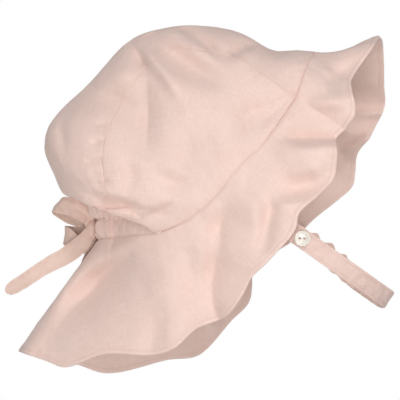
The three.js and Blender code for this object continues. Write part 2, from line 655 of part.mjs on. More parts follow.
// Places where the end of a strap lies flat inside the brim, by the seam it is sewn to. The brim there is
// brimShare of the way from brimFront to flapDrop, and brimLean is the share of it that the strap runs along.
const sewnAlongs = [0.03, 0.12, 0.22];
const brimShare = 0.54;
const brimLean = 0.77;
function sewnPoint(side, along) {
  const outScale = strapReach / THREE.MathUtils.lerp(brimFront, flapDrop, brimShare) / brimLean;
  let room = Infinity;
  for (const across of stops(-1, 1, 6)) {
    for (const shift of [-0.04, 0, 0.04]) {
      const at = side * (strapSeat + (across * 0.62 * tapeWidth) / seamLength);
      const out = THREE.MathUtils.clamp(along * outScale + shift, 0.005, 1);
      const normal = normalOf(brimPoint, at, out, 0.005);
      room = Math.min(room, Math.abs(brimPoint(at, out).addScaledVector(normal, -brimThick).y));
    }
  }
  const point = strapPoint(along, 0);
  point.y = side * (room - seamGap - strapThick / 2);
  return point;
}
function strapGeometry() {
  const middles = strapRows.map((row) => strapPoint(row.along, row.side));
  const rows = strapRows.concat(sewnAlongs.map(() => ({ wide: 1, ruffle: 0 })));
  for (const along of sewnAlongs.slice().reverse()) middles.push(sewnPoint(1, along));
  rows.forEach((row, k) => Object.assign(row, { at: k / (rows.length - 1) }));
  const curve = new THREE.CatmullRomCurve3(middles, false, "centripetal");
  const { across } = strapFrame();
  const outer = [];
  const inner = [];
  for (const at of stops(0, 1, 72)) {
    const middle = curve.getPoint(at);
    const normal = curve.getTangent(at).cross(across).normalize();
    const ruffle = THREE.MathUtils.clamp(smooth(rows, "ruffle", at), 0, 1);
    const wave = Math.cos(at * 160) * ruffle;
    const half = (smooth(rows, "wide", at) * tapeWidth) / 2;
    const shifts = [-half - ruffleRise * 0.25 * wave, 0, half + ruffleRise * 0.6 * (wave + ruffle)];
    const lean = [0.5, -0.3, 0.5].map((share) => share * wave * ruffleRise * 0.6);
    const spot = (shift, k) => middle.clone().addScaledVector(across, shift).addScaledVector(normal, lean[k]);
    const edge = shifts.map(spot);
    outer.push(edge.map((p) => p.clone().addScaledVector(normal, strapThick / 2)));
    inner.push(edge.map((p) => p.clone().addScaledVector(normal, -strapThick / 2)));
  }
  return closedWall(outer, inner, false);
}

// Tab inside the near side, sewn to the seam, which carries the button
const tabRows = table(
  ["along", "side", "wide"],
  [
    [0.5, -0.472, 1.0],
    [0.75, -0.488, 1.0],
    [0.93, -0.482, 1.0],
    [1.0, -0.478, 0.8],
  ],
);
function tabGeometry() {
  const share = tabReach / strapReach;
  const sewn = sewnAlongs.map((along) => sewnPoint(-1, along));
  const middles = sewn.concat(tabRows.map((row) => strapPoint(row.along * share, row.side)));
  const ways = middles.map(() => strapFrame().across);
  const widths = [1, 1, 1].concat(tabRows.map((row) => row.wide)).map((wide) => wide * tapeWidth);
  return tape(middles, ways, widths, strapThick, 18);
}

// Round button with a raised rim and two holes, seated on the outside of the strap
function buttonGeometry() {
  const r = buttonAcross / 2;
  const t = buttonThick;
  const profile = [[0, 0], [0.55 * r, 0], [0.9 * r, 0.2 * t], [r, 0.5 * t], [0.96 * r, 0.85 * t], [0.84 * r, t]];
  profile.push([0.7 * r, 0.88 * t], [0.52 * r, 0.64 * t], [0.25 * r, 0.55 * t], [0, 0.55 * t]);
  const points = profile.map(([x, y]) => new THREE.Vector2(x, y));
  const body = latheSolid(points, 28);
  const drill = [[0, -1], [buttonHole / 2, -1], [buttonHole / 2, t + 1], [0, t + 1]];
  const hole = latheSolid(drill.map(([x, y]) => new THREE.Vector2(x, y)), 10);
  const spacing = 0.19 * buttonAcross;
  const cut = body.subtract(hole.translate([spacing, 0, 0])).subtract(hole.translate([-spacing, 0, 0]));
  const geometry = geometryOf(cut);
  geometry.rotateZ(Math.PI);
  const place = strapPoint(0.785, -0.51);
  return geometry.rotateY(0.1).translate(place.x, place.y - strapThick / 2 - seamGap, place.z);
}
function latheSolid(points, around) {
  const positions = [];
  const faces = [];
  const inner = points.slice(1, -1);
  for (const p of inner) {
    for (let j = 0; j < around; j += 1) {
      const turn = (2 * Math.PI * j) / around;
      positions.push(p.x * Math.cos(turn), p.y, p.x * Math.sin(turn));
    }
  }
  const first = positions.length / 3;
  positions.push(0, points[0].y, 0, 0, points[points.length - 1].y, 0);
  for (let j = 0; j < around; j += 1) {
    const next = (j + 1) % around;
    faces.push(first, j, next);
    for (let i = 0; i < inner.length - 1; i += 1) {
      const a = i * around;
      const b = a + around;
      faces.push(a + j, b + j, b + next, a + j, b + next, a + next);
    }
    const base = (inner.length - 1) * around;
    faces.push(first + 1, base + next, base + j);
  }
  return solidOf(outward(positions, faces));
}

// Group of named pieces
const sunHat = new THREE.Group();
function addPiece(name, geometry, material) {
  const mesh = new THREE.Mesh(geometry, material);
  mesh.name = name;
  sunHat.add(mesh);
}
addPiece("crown_centre_band", bandGeometry, linen);
addPiece("crown_side_near", panelGeometry(-1), linen);
addPiece("crown_side_far", panelGeometry(1), linen);
addPiece("brim", brimGeometry, linen);
addPiece("nape_casing", casingGeometry, linen);
addPiece("tie_knot", knotGeometry(0), ribbonCloth);
addPiece("bow_loop_near", cutByKnot(bowPiece(nearLoop, loopLength)), ribbonCloth);
addPiece("bow_loop_far", cutByKnot(bowPiece(farLoop, loopLength)), ribbonCloth);
addPiece("tie_tail_near", cutByKnot(bowPiece(nearTail, tieLength)), ribbonCloth);
addPiece("tie_tail_far", cutByKnot(farTailGeometry()), ribbonCloth);
addPiece("chin_strap", strapGeometry(), ribbonCloth);
addPiece("strap_tab", tabGeometry(), ribbonCloth);
addPiece("button", buttonGeometry(), shell);

export default sunHat;
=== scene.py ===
# %% [markdown]
# # A child's linen sun hat
# The hat has a crown of three panels, a wavy brim that grows into a long neck flap, a casing at the nape
# that is gathered by a bow, and a chin strap that buttons to a tab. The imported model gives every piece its
# place and size. This lesson gives each piece its cloth: folds, seams, hems, stitches and weave.
# It starts with the frame, because every piece is made where the frame has it.

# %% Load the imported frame
import math
import bpy
import numpy as np
from mathutils import Matrix, Vector


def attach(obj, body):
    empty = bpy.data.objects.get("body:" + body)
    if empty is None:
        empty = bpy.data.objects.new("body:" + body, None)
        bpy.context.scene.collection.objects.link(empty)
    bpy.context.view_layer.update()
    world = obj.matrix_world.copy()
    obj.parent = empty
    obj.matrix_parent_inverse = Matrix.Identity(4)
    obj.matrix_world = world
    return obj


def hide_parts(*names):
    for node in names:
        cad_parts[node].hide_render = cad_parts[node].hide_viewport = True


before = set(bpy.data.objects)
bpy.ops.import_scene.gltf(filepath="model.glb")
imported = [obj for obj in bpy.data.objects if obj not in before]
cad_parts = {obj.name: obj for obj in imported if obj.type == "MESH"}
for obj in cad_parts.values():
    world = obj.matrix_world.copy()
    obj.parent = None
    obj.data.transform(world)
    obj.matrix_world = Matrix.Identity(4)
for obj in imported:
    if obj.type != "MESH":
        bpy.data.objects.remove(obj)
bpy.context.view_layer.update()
MM = 0.001
print("pieces in the frame:", len(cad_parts))

# %% [markdown]
# ## The camera
# The camera comes first, because the folds are read in the photograph's own frame of 400 by 400 pixels.
# A long lens from 1.5 m away looks at the near side, turned a little towards the face and tipped up a little.

# %% Camera at the photograph's viewing angle
AZIMUTH = math.radians(7)
ELEVATION = math.radians(-4)
CAMERA_DISTANCE = 1500.0
PIXEL_MM = 0.72
TARGET = np.array([7.2, 0.0, -124.4])
TOWARDS_CAMERA = np.array([
    math.sin(AZIMUTH) * math.cos(ELEVATION), -math.cos(AZIMUTH) * math.cos(ELEVATION), math.sin(ELEVATION)])
CAMERA_RIGHT = np.array([math.cos(AZIMUTH), math.sin(AZIMUTH), 0.0])
CAMERA_UP = np.array([
    -math.sin(AZIMUTH) * math.sin(ELEVATION), math.cos(AZIMUTH) * math.sin(ELEVATION), math.cos(ELEVATION)])

camera_data = bpy.data.cameras.new("camera")
camera_data.sensor_width = 36.0
camera_data.lens = 36.0 * CAMERA_DISTANCE / (400 * PIXEL_MM)
camera_data.clip_end = 20.0
camera = bpy.data.objects.new("camera", camera_data)
bpy.context.collection.objects.link(camera)
camera.location = (TARGET + TOWARDS_CAMERA * CAMERA_DISTANCE) * MM
camera.rotation_euler = Vector(-TOWARDS_CAMERA).to_track_quat("-Z", "Y").to_euler()
bpy.context.scene.camera = camera
print("lens", round(camera_data.lens, 1), "mm")


# %% Where a point of the hat is seen, in pixels
def seen(points):
    """Pixels, in the photograph's frame, of points in millimetres."""
    away = points - TARGET
    depth = 1.0 - away @ TOWARDS_CAMERA / CAMERA_DISTANCE
    across = 200 + away @ CAMERA_RIGHT / depth / PIXEL_MM
    down = 200 - away @ CAMERA_UP / depth / PIXEL_MM
    return np.stack([across, down], axis=-1)


print("the crown's top is seen at", seen(np.array([0.0, 0.0, 0.0])).round(1))

# %% [markdown]
# ## Driving sizes
# These are the hat's own sizes in millimetres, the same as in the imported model. Every table after this is in
# shares of them.

# %% Sizes of the hat
CROWN_LENGTH = 198.0
CROWN_DROP = 153.0
CROWN_WIDTH = 132.0
BRIM_FRONT = 46.0
FLAP_DROP = 102.0
CLOTH_THICK = 1.2
BRIM_THICK = 1.6
TAPE_THICK = 1.1
STRAP_THICK = 1.5
CASING_HEIGHT = 13.0
CASING_PLEATS = 17
PLEAT_DEPTH = 1.1
TAPE_WIDTH = 12.0
TIE_LENGTH = 96.0
LOOP_LENGTH = 34.0
KNOT_HEIGHT = 15.0
STRAP_REACH = 84.0
TAB_REACH = 71.0
STRAP_TILT = math.radians(35.5)
STRAP_SEAT = 0.528
RUFFLE_RISE = 2.6
BUTTON_ACROSS = 11.0
BUTTON_THICK = 2.6
BUTTON_HOLE = 1.7
SEAM_GAP = 0.35


# %% Tables with named columns, and smooth values between their rows
def table(names, rows):
    """Columns of a table by name, from rows of numbers."""
    return {name: np.array([row[k] for row in rows], float) for k, name in enumerate(names.split())}


def smooth(rows, column, at):
    """Value of a column at places between the rows, on a smooth line through them."""
    place = rows["at"]
    value = rows[column]
    last = len(place) - 1
    slope = np.array([
        (value[min(k + 1, last)] - value[max(k - 1, 0)]) / (place[min(k + 1, last)] - place[max(k - 1, 0)])
        for k in range(last + 1)])
    at = np.asarray(at, float)
    i = np.clip(np.searchsorted(place, at, side="right") - 1, 0, last - 1)
    step = place[i + 1] - place[i]
    t = np.clip((at - place[i]) / step, 0, 1)
    start = (2 * t**3 - 3 * t**2 + 1) * value[i] + (t**3 - 2 * t**2 + t) * step * slope[i]
    end = (3 * t**2 - 2 * t**3) * value[i + 1] + (t**3 - t**2) * step * slope[i + 1]
    return start + end


def ease(value, low=0.0, high=1.0):
    """Soft step from 0 at low to 1 at high."""
    t = np.clip((np.asarray(value, float) - low) / (high - low), 0, 1)
    return t * t * (3 - 2 * t)


ARCHES = table("at footAhead footDown half topAhead topDown bulge band lift", [
    [0.0, 0.406, 0.378, 0.364, 0.461, 0.133, 1.02, 0.03, 0.0],
    [0.055, 0.376, 0.44, 0.402, 0.395, 0.123, 1.03, 0.279, 0.0],
    [0.131, 0.332, 0.529, 0.439, 0.3, 0.118, 1.04, 0.579, 0.0],
    [0.215, 0.285, 0.612, 0.462, 0.19, 0.041, 1.05, 0.718, 0.0],
    [0.29, 0.24, 0.667, 0.477, 0.055, 0.003, 1.06, 0.761, 0.0],
    [0.363, 0.202, 0.716, 0.477, -0.089, 0.007, 1.06, 0.809, 0.0],
    [0.444, 0.16, 0.783, 0.477, -0.226, 0.071, 1.06, 0.768, 0.0],
    [0.54, 0.117, 0.85, 0.47, -0.362, 0.253, 1.07, 0.719, 0.0],
    [0.632, 0.074, 0.898, 0.455, -0.508, 0.443, 1.09, 0.598, 0.0],
    [0.702, 0.015, 0.946, 0.432, -0.535, 0.567, 1.12, 0.512, 0.0],
    [0.774, -0.044, 0.978, 0.402, -0.49, 0.71, 1.14, 0.482, 0.0],
    [0.831, -0.101, 0.994, 0.364, -0.463, 0.787, 1.16, 0.478, 0.04],
    [0.881, -0.152, 0.996, 0.318, -0.421, 0.811, 1.16, 0.441, 0.72],
    [0.934, -0.201, 0.996, 0.258, -0.373, 0.839, 1.12, 0.4, 0.98],
    [1.0, -0.259, 0.998, 0.159, -0.334, 0.909, 1.04, 0.25, 1.0],
])
NAPE = {"ahead": -0.333, "down": 1.007}
print("arches of the crown:", len(ARCHES["at"]))


# %% [markdown]
# ## The shape of the crown
# A crown like this is sewn from a long band over the middle of the head and a panel at each side. Its form is
# a row of arches, from the forehead to the nape, each going from the near seam over the spine to the far seam.
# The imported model's arches are worked out the same way, so the cloth lies where the solid is.

# %% Points on the smooth crown
def side_place(ahead, down, y):
    """Millimetres from shares of the crown's length and drop."""
    ahead, down, y = np.broadcast_arrays(ahead, down, y)
    return np.stack([ahead * CROWN_LENGTH, y, CLOTH_THICK - down * CROWN_DROP], axis=-1).astype(float)


def arch_low(at):
    return np.sqrt(1 - 1 / smooth(ARCHES, "bulge", at) ** 2)


def angle_at(at, rise):
    """Angle from the spine of the place on an arch at a share of its rise."""
    low = arch_low(at)
    return math.pi / 2 - np.arcsin(np.clip(rise * (1 + low) - low, -1, 1))


def plain_crown(at, angle):
    low = arch_low(at)
    half = smooth(ARCHES, "half", at) * CROWN_WIDTH
    rise = ((np.cos(angle) + low) / (1 + low))[..., None]
    foot = side_place(smooth(ARCHES, "footAhead", at), smooth(ARCHES, "footDown", at), 0.0)
    foot[..., 2] += smooth(ARCHES, "lift", at) * CASING_HEIGHT
    top = side_place(smooth(ARCHES, "topAhead", at), smooth(ARCHES, "topDown", at), 0.0)
    point = foot + (top - foot) * rise
    point[..., 1] = half * smooth(ARCHES, "bulge", at) * np.sin(angle)
    return point


def normals_of(surface, a, b, step=0.004):
    """Normals of a surface at a grid of places, pointing out of the hat."""
    across = surface(a + step, b) - surface(a - step, b)
    along = surface(a, b + step) - surface(a, b - step)
    normal = np.cross(along, across)
    return normal / np.linalg.norm(normal, axis=-1, keepdims=True)


print("foot of the front arch:", plain_crown(np.array(0.0), -angle_at(np.array(0.0), 0.0)).round(1))


# %% Seam between crown and brim, from the centre front to the centre back
def seam_line():
    front = angle_at(0.0, 0.0)
    parts = [plain_crown(np.zeros(40), -front * np.arange(40) / 40)]
    at = np.arange(101) / 100
    half = smooth(ARCHES, "half", at) * CROWN_WIDTH
    parts.append(side_place(smooth(ARCHES, "footAhead", at), smooth(ARCHES, "footDown", at), -half))
    last = parts[1][-1]
    back = side_place(NAPE["ahead"], NAPE["down"], 0.0)
    turn = (np.arange(1, 25) / 24 * math.pi / 2)[:, None]
    bend = last + (back - last) * np.sin(turn)
    bend[:, 1] = last[1] * np.cos(turn[:, 0])
    parts.append(bend)
    return np.concatenate(parts)


SEAM = seam_line()
SEAM_REACH = np.concatenate([[0], np.cumsum(np.linalg.norm(np.diff(SEAM, axis=0), axis=1))])
SEAM_LENGTH = SEAM_REACH[-1]


def seam_at(at):
    reach = np.clip(np.abs(at), 0, 1) * SEAM_LENGTH
    return np.stack([np.interp(reach, SEAM_REACH, SEAM[:, k]) for k in range(3)], axis=-1)


print("the seam is", round(2 * SEAM_LENGTH), "mm round")

# %% [markdown]
# ## The shape of the brim
# The brim is one ring of two layers. Its edge runs in waves, and the waves of the near and the far side differ.
# Each row of the tables is a place on the edge, measured from the seam there, in shares of the brim's reach.

# %% Edges of the brim
EDGE_COLUMNS = "at ahead up out sag swell"
NEAR_EDGE = table(EDGE_COLUMNS, [
    [0.0, 0.967, 0.25, 0.0, 0.085, 0.0],
    [0.035, 0.933, 0.142, 0.082, 0.06, 0.0],
    [0.07, 0.884, 0.045, 0.101, 0.03, 0.0],
    [0.11, 0.63, -0.312, 0.227, 0.0, 0.0],
    [0.15, 0.634, -0.388, 0.225, 0.0, 0.0],
    [0.19, 0.713, -0.531, 0.24, 0.0, 0.05],
    [0.235, 0.653, -0.453, 0.212, 0.0, 0.0],
    [0.28, 0.587, -0.407, 0.228, 0.0, 0.0],
    [0.325, 0.666, -0.503, 0.266, 0.0, 0.0],
    [0.37, 0.714, -0.49, 0.264, 0.0, 0.05],
    [0.415, 0.633, -0.481, 0.205, 0.0, 0.0],
    [0.46, 0.554, -0.493, 0.183, 0.0, 0.0],
    [0.495, 0.599, -0.491, 0.203, 0.0, 0.0],
    [0.53, 0.607, -0.474, 0.21, 0.0, 0.05],
    [0.57, 0.484, -0.543, 0.176, 0.0, 0.0],
    [0.61, 0.419, -0.569, 0.157, 0.0, 0.0],
    [0.64, 0.411, -0.648, 0.174, 0.0, 0.0],
    [0.67, 0.377, -0.733, 0.195, 0.0, 0.03],
    [0.74, 0.302, -0.731, 0.209, 0.0, 0.02],
    [0.775, 0.227, -0.837, 0.22, 0.0, 0.02],
    [0.81, 0.141, -0.866, 0.222, 0.0, 0.02],
    [0.87, -0.089, -0.834, 0.206, 0.0, 0.02],
    [0.92, -0.271, -0.905, 0.193, 0.0, 0.02],
    [0.955, -0.375, -0.85, 0.174, 0.02, 0.01],
    [0.98, -0.515, -0.796, 0.132, 0.02, 0.0],
    [1.0, -0.595, -0.778, 0.0, 0.02, 0.0],
])
FAR_EDGE = table(EDGE_COLUMNS, [
    [0.0, 0.967, 0.25, 0.0, 0.085, 0.0],
    [0.03, 1.005, 0.235, 0.07, 0.06, 0.0],
    [0.09, 1.015, 0.059, 0.089, 0.03, 0.0],
    [0.135, 1.014, -0.157, 0.176, 0.0, 0.0],
    [0.18, 1.022, -0.248, 0.217, 0.0, 0.05],
    [0.23, 0.87, -0.355, 0.181, 0.0, 0.0],
    [0.28, 0.73, -0.363, 0.228, 0.0, 0.0],
    [0.325, 0.757, -0.417, 0.266, 0.0, 0.0],
    [0.37, 0.784, -0.405, 0.248, 0.0, 0.05],
    [0.41, 0.661, -0.416, 0.209, 0.0, 0.0],
    [0.46, 0.582, -0.399, 0.183, 0.0, 0.0],
    [0.53, 0.443, -0.427, 0.197, 0.0, 0.05],
    [0.6, 0.272, -0.383, 0.176, 0.0, 0.0],
    [0.63, 0.296, -0.437, 0.192, 0.0, 0.0],
    [0.66, 0.37, -0.497, 0.199, 0.0, 0.05],
    [0.69, 0.41, -0.574, 0.2, 0.0, 0.0],
    [0.72, 0.348, -0.672, 0.208, 0.0, 0.0],
    [0.78, 0.258, -0.883, 0.222, 0.0, 0.05],
    [0.84, 0.13, -0.894, 0.266, 0.0, 0.0],
    [0.9, -0.138, -0.965, 0.223, 0.0, 0.05],
    [0.95, -0.308, -0.87, 0.173, 0.02, 0.0],
    [0.98, -0.52, -0.815, 0.09, 0.02, 0.0],
    [1.0, -0.595, -0.778, 0.0, 0.02, 0.0],
])


def soft_seam(place):
    """The seam without its corners, as the free cloth below it hangs."""
    total = 0.0
    for shift in np.linspace(-0.05, 0.05, 11):
        spot = place + shift
        beyond = (spot < 0) | (spot > 1)
        point = seam_at(np.where(spot > 1, 2 - spot, np.abs(spot)))
        point[..., 1] = np.where(beyond, -point[..., 1], point[..., 1])
        total = total + point / 11
    return total


def plain_brim(at, out):
    """Points of the smooth brim: at goes from -1 at the centre back over the near side to 0 in front and on."""
    at, out = np.broadcast_arrays(np.asarray(at, float), np.asarray(out, float))
    turn = (at + 1) % 2 - 1
    far = turn > 0
    place = np.abs(turn)

    def column(name):
        return np.where(far, smooth(FAR_EDGE, name, place), smooth(NEAR_EDGE, name, place))

    reach = BRIM_FRONT + (FLAP_DROP - BRIM_FRONT) * ease(place)
    sag = 6.75 * out * (1 - out) ** 2 * column("sag")
    swell = np.sin(math.pi * out) * column("swell")
    soft = (ease(out, 0, 0.3) * ease(place, 0.7, 0.8))[..., None]
    point = seam_at(place) * (1 - soft) + soft_seam(place) * soft
    point[..., 0] += reach * (out * column("ahead") + sag * column("up"))
    point[..., 2] += reach * (out * column("up") - sag * column("ahead"))
    point[..., 1] -= reach * (out * column("out") + swell)
    point[..., 1] = np.where(far, -point[..., 1], point[..., 1])
    return point


print("tip of the brim:", plain_brim(0.0, 1.0).round(1), "tip of the flap:", plain_brim(1.0, 1.0).round(1))

# %% [markdown]
# ## Folds
# Cloth folds where it was pressed and handled. Each fold is a soft valley or ridge along a line, read in the
# photograph's pixels for the side that it shows, with a width in pixels and a judged depth. A fold
# presses a point straight away from the camera, so it stays at its pixels and the hat's outline stays as it
# is. It could be pressed along the surface's normal instead, but then it would drift where the cloth curves
# away. The same function serves the crown and the brim.


# %% A fold along a line of pixels
CRISP = 4.5
FOLD_STRENGTH = 2.8


def along_path(pixels, path):
    """Distance in pixels to a broken line, signed by its side, and the share of the line at the nearest place."""
    path = np.array(path, float)
    lengths = np.linalg.norm(np.diff(path, axis=0), axis=1)
    starts = np.concatenate([[0], np.cumsum(lengths)])
    best = np.full(pixels.shape[:-1], 1e9)
    share = np.zeros(pixels.shape[:-1])
    side = np.ones(pixels.shape[:-1])
    for k, length in enumerate(lengths):
        step = (path[k + 1] - path[k]) / length
        rel = pixels - path[k]
        t = np.clip(rel @ step, 0, length)
        away = np.linalg.norm(rel - t[..., None] * step, axis=-1)
        nearer = away < best
        best = np.where(nearer, away, best)
        share = np.where(nearer, (starts[k] + t) / starts[-1], share)
        turn = rel[..., 0] * step[1] - rel[..., 1] * step[0]
        side = np.where(nearer, np.sign(turn), side)
    return best * side, share


def press(points, normals, folds, mask):
    """How the folds move points straight away from the camera, where the mask lets them."""
    pixels = seen(points)
    depth = np.zeros(points.shape[:-1])
    for path, deep, plus, minus, first, last in folds:
        away, share = along_path(pixels, path)
        start = first + (1 - first) * ease(share, 0, 0.5)
        end = last + (1 - last) * ease(1 - share, 0, 0.5)
        wide = np.where(away > 0, plus, minus)
        reach = np.abs(away / wide)
        shape = np.where(wide < CRISP, np.exp(-reach), np.exp(-reach ** 2))
        depth += deep * np.where(share < 0.5, start, end) * shape
    facing = normals @ TOWARDS_CAMERA
    deep = FOLD_STRENGTH * depth * mask * ease(np.abs(facing), 0.08, 0.4) * np.sign(facing)
    return -TOWARDS_CAMERA * deep[..., None]


def lattice(seed, shape=(64, 64)):
    return np.random.default_rng(seed).uniform(-1, 1, shape)


def ripple(x, y, size, seed):
    """Smooth random height between -1 and 1 over a plane, with bumps of about the given size."""
    grid = lattice(seed)
    x = np.asarray(x) / size + 32
    y = np.asarray(y) / size + 32
    i = np.floor(x).astype(int)
    j = np.floor(y).astype(int)
    fx = ease(x - i)
    fy = ease(y - j)
    corner = [grid[(i + a) % 64, (j + b) % 64] for a in (0, 1) for b in (0, 1)]
    low = corner[0] * (1 - fx) + corner[2] * fx
    high = corner[1] * (1 - fx) + corner[3] * fx
    return low * (1 - fy) + high * fy


test_fold = [([(180, 30), (200, 30)], 1, 5, 5, 1, 1)]
print("a test fold presses", press(np.zeros((1, 3)), np.ones((1, 3)), test_fold, 1.0).round(2))

# %% [markdown]
# ## Walls of cloth
# A cloth piece is a thin closed wall: an outer layer, an inner layer, and rims that are rounded as a turned
# edge is. Solidify could give the thickness, but two grids that face each other let each layer have its own
# folds and let the UV map carry the weave in real metres, so the walls are built from grids.

# %% Rounded rims and ends
RIM_TURNS = np.radians([35, 70, 110, 145])


def unit(vectors):
    return vectors / np.maximum(np.linalg.norm(vectors, axis=-1, keepdims=True), 1e-9)


def rim_points(outer, inner, edge, neighbour):
    """Points round the rim at one end of the columns, from the outer layer to the inner one."""
    centre = (outer[:, edge] + inner[:, edge]) / 2
    half = (outer[:, edge] - inner[:, edge]) / 2
    radius = np.linalg.norm(half, axis=-1, keepdims=True)
    away = outer[:, edge] - outer[:, neighbour] + inner[:, edge] - inner[:, neighbour]
    away = away - half * (away * half).sum(-1, keepdims=True) / np.maximum(radius ** 2, 1e-9)
    away = unit(away) * radius
    turns = RIM_TURNS[None, :, None]
    points = centre[:, None] + half[:, None] * np.cos(turns) + away[:, None] * np.sin(turns)
    return points, np.repeat(centre[:, None], len(RIM_TURNS), axis=1)


def end_rows(profile, centre, end, neighbour, radius):
    """Rows that close an end of the wall in a round."""
    away = unit(centre[end] - centre[neighbour]) * radius
    half = profile[end] - centre[end]
    return [centre[end] + half * math.cos(t) + away * math.sin(t) for t in np.radians([35, 65])]


print("rim points:", len(RIM_TURNS))


# %% Closed wall as a Blender object
def wall(name, outer, inner, uv, seam=None, wrapped=False):
    """Object made of a closed wall. Points are in millimetres, and the UV map is in metres."""
    cols = outer.shape[1]
    last_rim, last_centre = rim_points(outer, inner, -1, -2)
    first_rim, first_centre = rim_points(outer, inner, 0, 1)
    middle = (outer + inner) / 2
    seam = np.zeros(outer.shape[:2]) if seam is None else seam
    profile = np.concatenate([outer, last_rim, inner[:, ::-1], first_rim[:, ::-1]], axis=1)
    centre = np.concatenate([middle, last_centre, middle[:, ::-1], first_centre[:, ::-1]], axis=1)
    turns = len(RIM_TURNS)

    def around(grid):
        last = np.repeat(grid[:, -1:], turns, axis=1)
        first = np.repeat(grid[:, :1], turns, axis=1)
        return np.concatenate([grid, last, grid[:, ::-1], first], axis=1)

    uv = around(uv)
    seam = around(seam)
    if not wrapped:
        radius = float(np.median(np.linalg.norm(outer - inner, axis=-1))) / 2
        front = end_rows(profile, centre, 0, 1, radius)
        back = end_rows(profile, centre, -1, -2, radius)
        profile = np.concatenate([front[::-1], profile, back])
        uv = np.concatenate([uv[:1], uv[:1], uv, uv[-1:], uv[-1:]])
        seam = np.concatenate([seam[:1], seam[:1], seam, seam[-1:], seam[-1:]])
    rows, wide = profile.shape[:2]
    i, j = np.meshgrid(np.arange(rows if wrapped else rows - 1), np.arange(wide), indexing="ij")
    i, j = i.ravel(), j.ravel()
    k = (j + 1) % wide
    corner_rows = np.stack([i, i + 1, i + 1, i], axis=1)
    corner_cols = np.stack([j, j, k, k], axis=1)
    faces = (corner_rows % rows) * wide + corner_cols
    corner_uv = uv[np.minimum(corner_rows, len(uv) - 1), corner_cols].reshape(-1, 2)
    face_list = faces.tolist()
    if not wrapped:
        caps = []
        for row in (0, rows - 1):
            base = row * wide
            far = [base + cols + turns + cols - 1 - c for c in range(cols)]
            ring = [[base + c, base + c + 1, far[c + 1], far[c]] for c in range(cols - 1)]
            ring.append([base + cols - 1] + [base + cols + t for t in range(turns)] + [far[-1]])
            ring.append([far[0]] + [base + 2 * cols + turns + t for t in range(turns)] + [base])
            caps += ring if row == 0 else [face[::-1] for face in ring]
        flat = [corner for face in caps for corner in face]
        corner_uv = np.concatenate([corner_uv, uv.reshape(-1, 2)[flat]])
        face_list += caps
    points = profile.reshape(-1, 3)
    a, b, c = points[faces[:, 0]], points[faces[:, 1]], points[faces[:, 2]]
    d = points[faces[:, 3]]
    volume = (a * np.cross(b, c)).sum() + (a * np.cross(c, d)).sum()
    mesh = bpy.data.meshes.new(name)
    if volume < 0:
        sizes = [len(face) for face in face_list]
        starts = np.concatenate([[0], np.cumsum(sizes)])
        order = np.concatenate([np.arange(starts[f], starts[f + 1])[::-1] for f in range(len(sizes))])
        corner_uv = corner_uv[order]
        face_list = [face[::-1] for face in face_list]
    mesh.from_pydata((points * MM).tolist(), [], face_list)
    mesh.polygons.foreach_set("use_smooth", [True] * len(mesh.polygons))
    layer = mesh.uv_layers.new(name="cloth")
    layer.data.foreach_set("uv", corner_uv.ravel())
    # The seam attribute tells the cloth material where to paint shade along seams and stitch lines.
    near = mesh.attributes.new("seam", "FLOAT", "POINT")
    near.data.foreach_set("value", seam.ravel().astype(np.float32))
    mesh.validate()
    thing = bpy.data.objects.new(name, mesh)
    bpy.context.collection.objects.link(thing)
    return thing


def lengths_from(points, axis, end=False):
    """Distance along the rows (axis 0) or the columns (axis 1) from their first or last place."""
    steps = np.linalg.norm(np.diff(points, axis=axis), axis=-1)
    total = np.cumsum(steps, axis=axis)
    start = np.zeros_like(np.take(total, [0], axis=axis))
    reach = np.concatenate([start, total], axis=axis)
    return np.take(reach, [-1], axis=axis) - reach if end else reach


print("walls are closed grids")

# %% [markdown]
# ## How a seam shapes cloth
# At a seam the two edges turn in, so the cloth rolls down into a groove. The turned allowance under it makes a
# soft shoulder, the topstitch presses a narrow line in that shoulder, and the thread draws the cloth into
# small puckers. All of it depends only on the distance from the seam, so one function serves every seam.


# %% Shape of the cloth beside a seam
SEAM_GROOVE = 0.34
SEAM_SHOULDER = 0.16
STITCH_SET = 2.1
STITCH_DENT = 0.16


def beside_seam(away, along, seed, groove=SEAM_GROOVE, puckers=0.3):
    """Height of the cloth at a distance from a seam, at a length along it, in millimetres."""
    dip = -groove * np.exp(-(away / 0.5) ** 2)
    shoulder = SEAM_SHOULDER * np.exp(-((away - 2.0) / 1.6) ** 2)
    stitch = -STITCH_DENT * np.exp(-((away - STITCH_SET) / 0.42) ** 2)
    drawn = puckers * ripple(along, away * 0.18, 3.4, seed) * np.exp(-(away / 6.5))
    wide = 1.6 * puckers * ripple(along, away * 0.1, 8.5, seed + 1) * np.exp(-(away / 14.0)) * (1 - np.exp(-away / 2))
    return dip + shoulder + stitch + drawn + wide


print("shoulder height", round(float(beside_seam(np.array(2.0), np.array(0.0), 3, puckers=0.0)), 2), "mm")

# %% [markdown]
# ## Folds of the crown
# The near side follows the photograph. The far side isn't seen, so it gets folds of the same kind in other
# places, because a hat handled on both sides never folds alike. Each row is a line in pixels, the depth of the
# fold in millimetres, its width in pixels to the right or above and to the left or below, and the share of its
# depth at each end. A narrow side, or one with a minus sign, breaks off sharply at the line, as a pressed
# crease does. A negative depth makes a ridge.

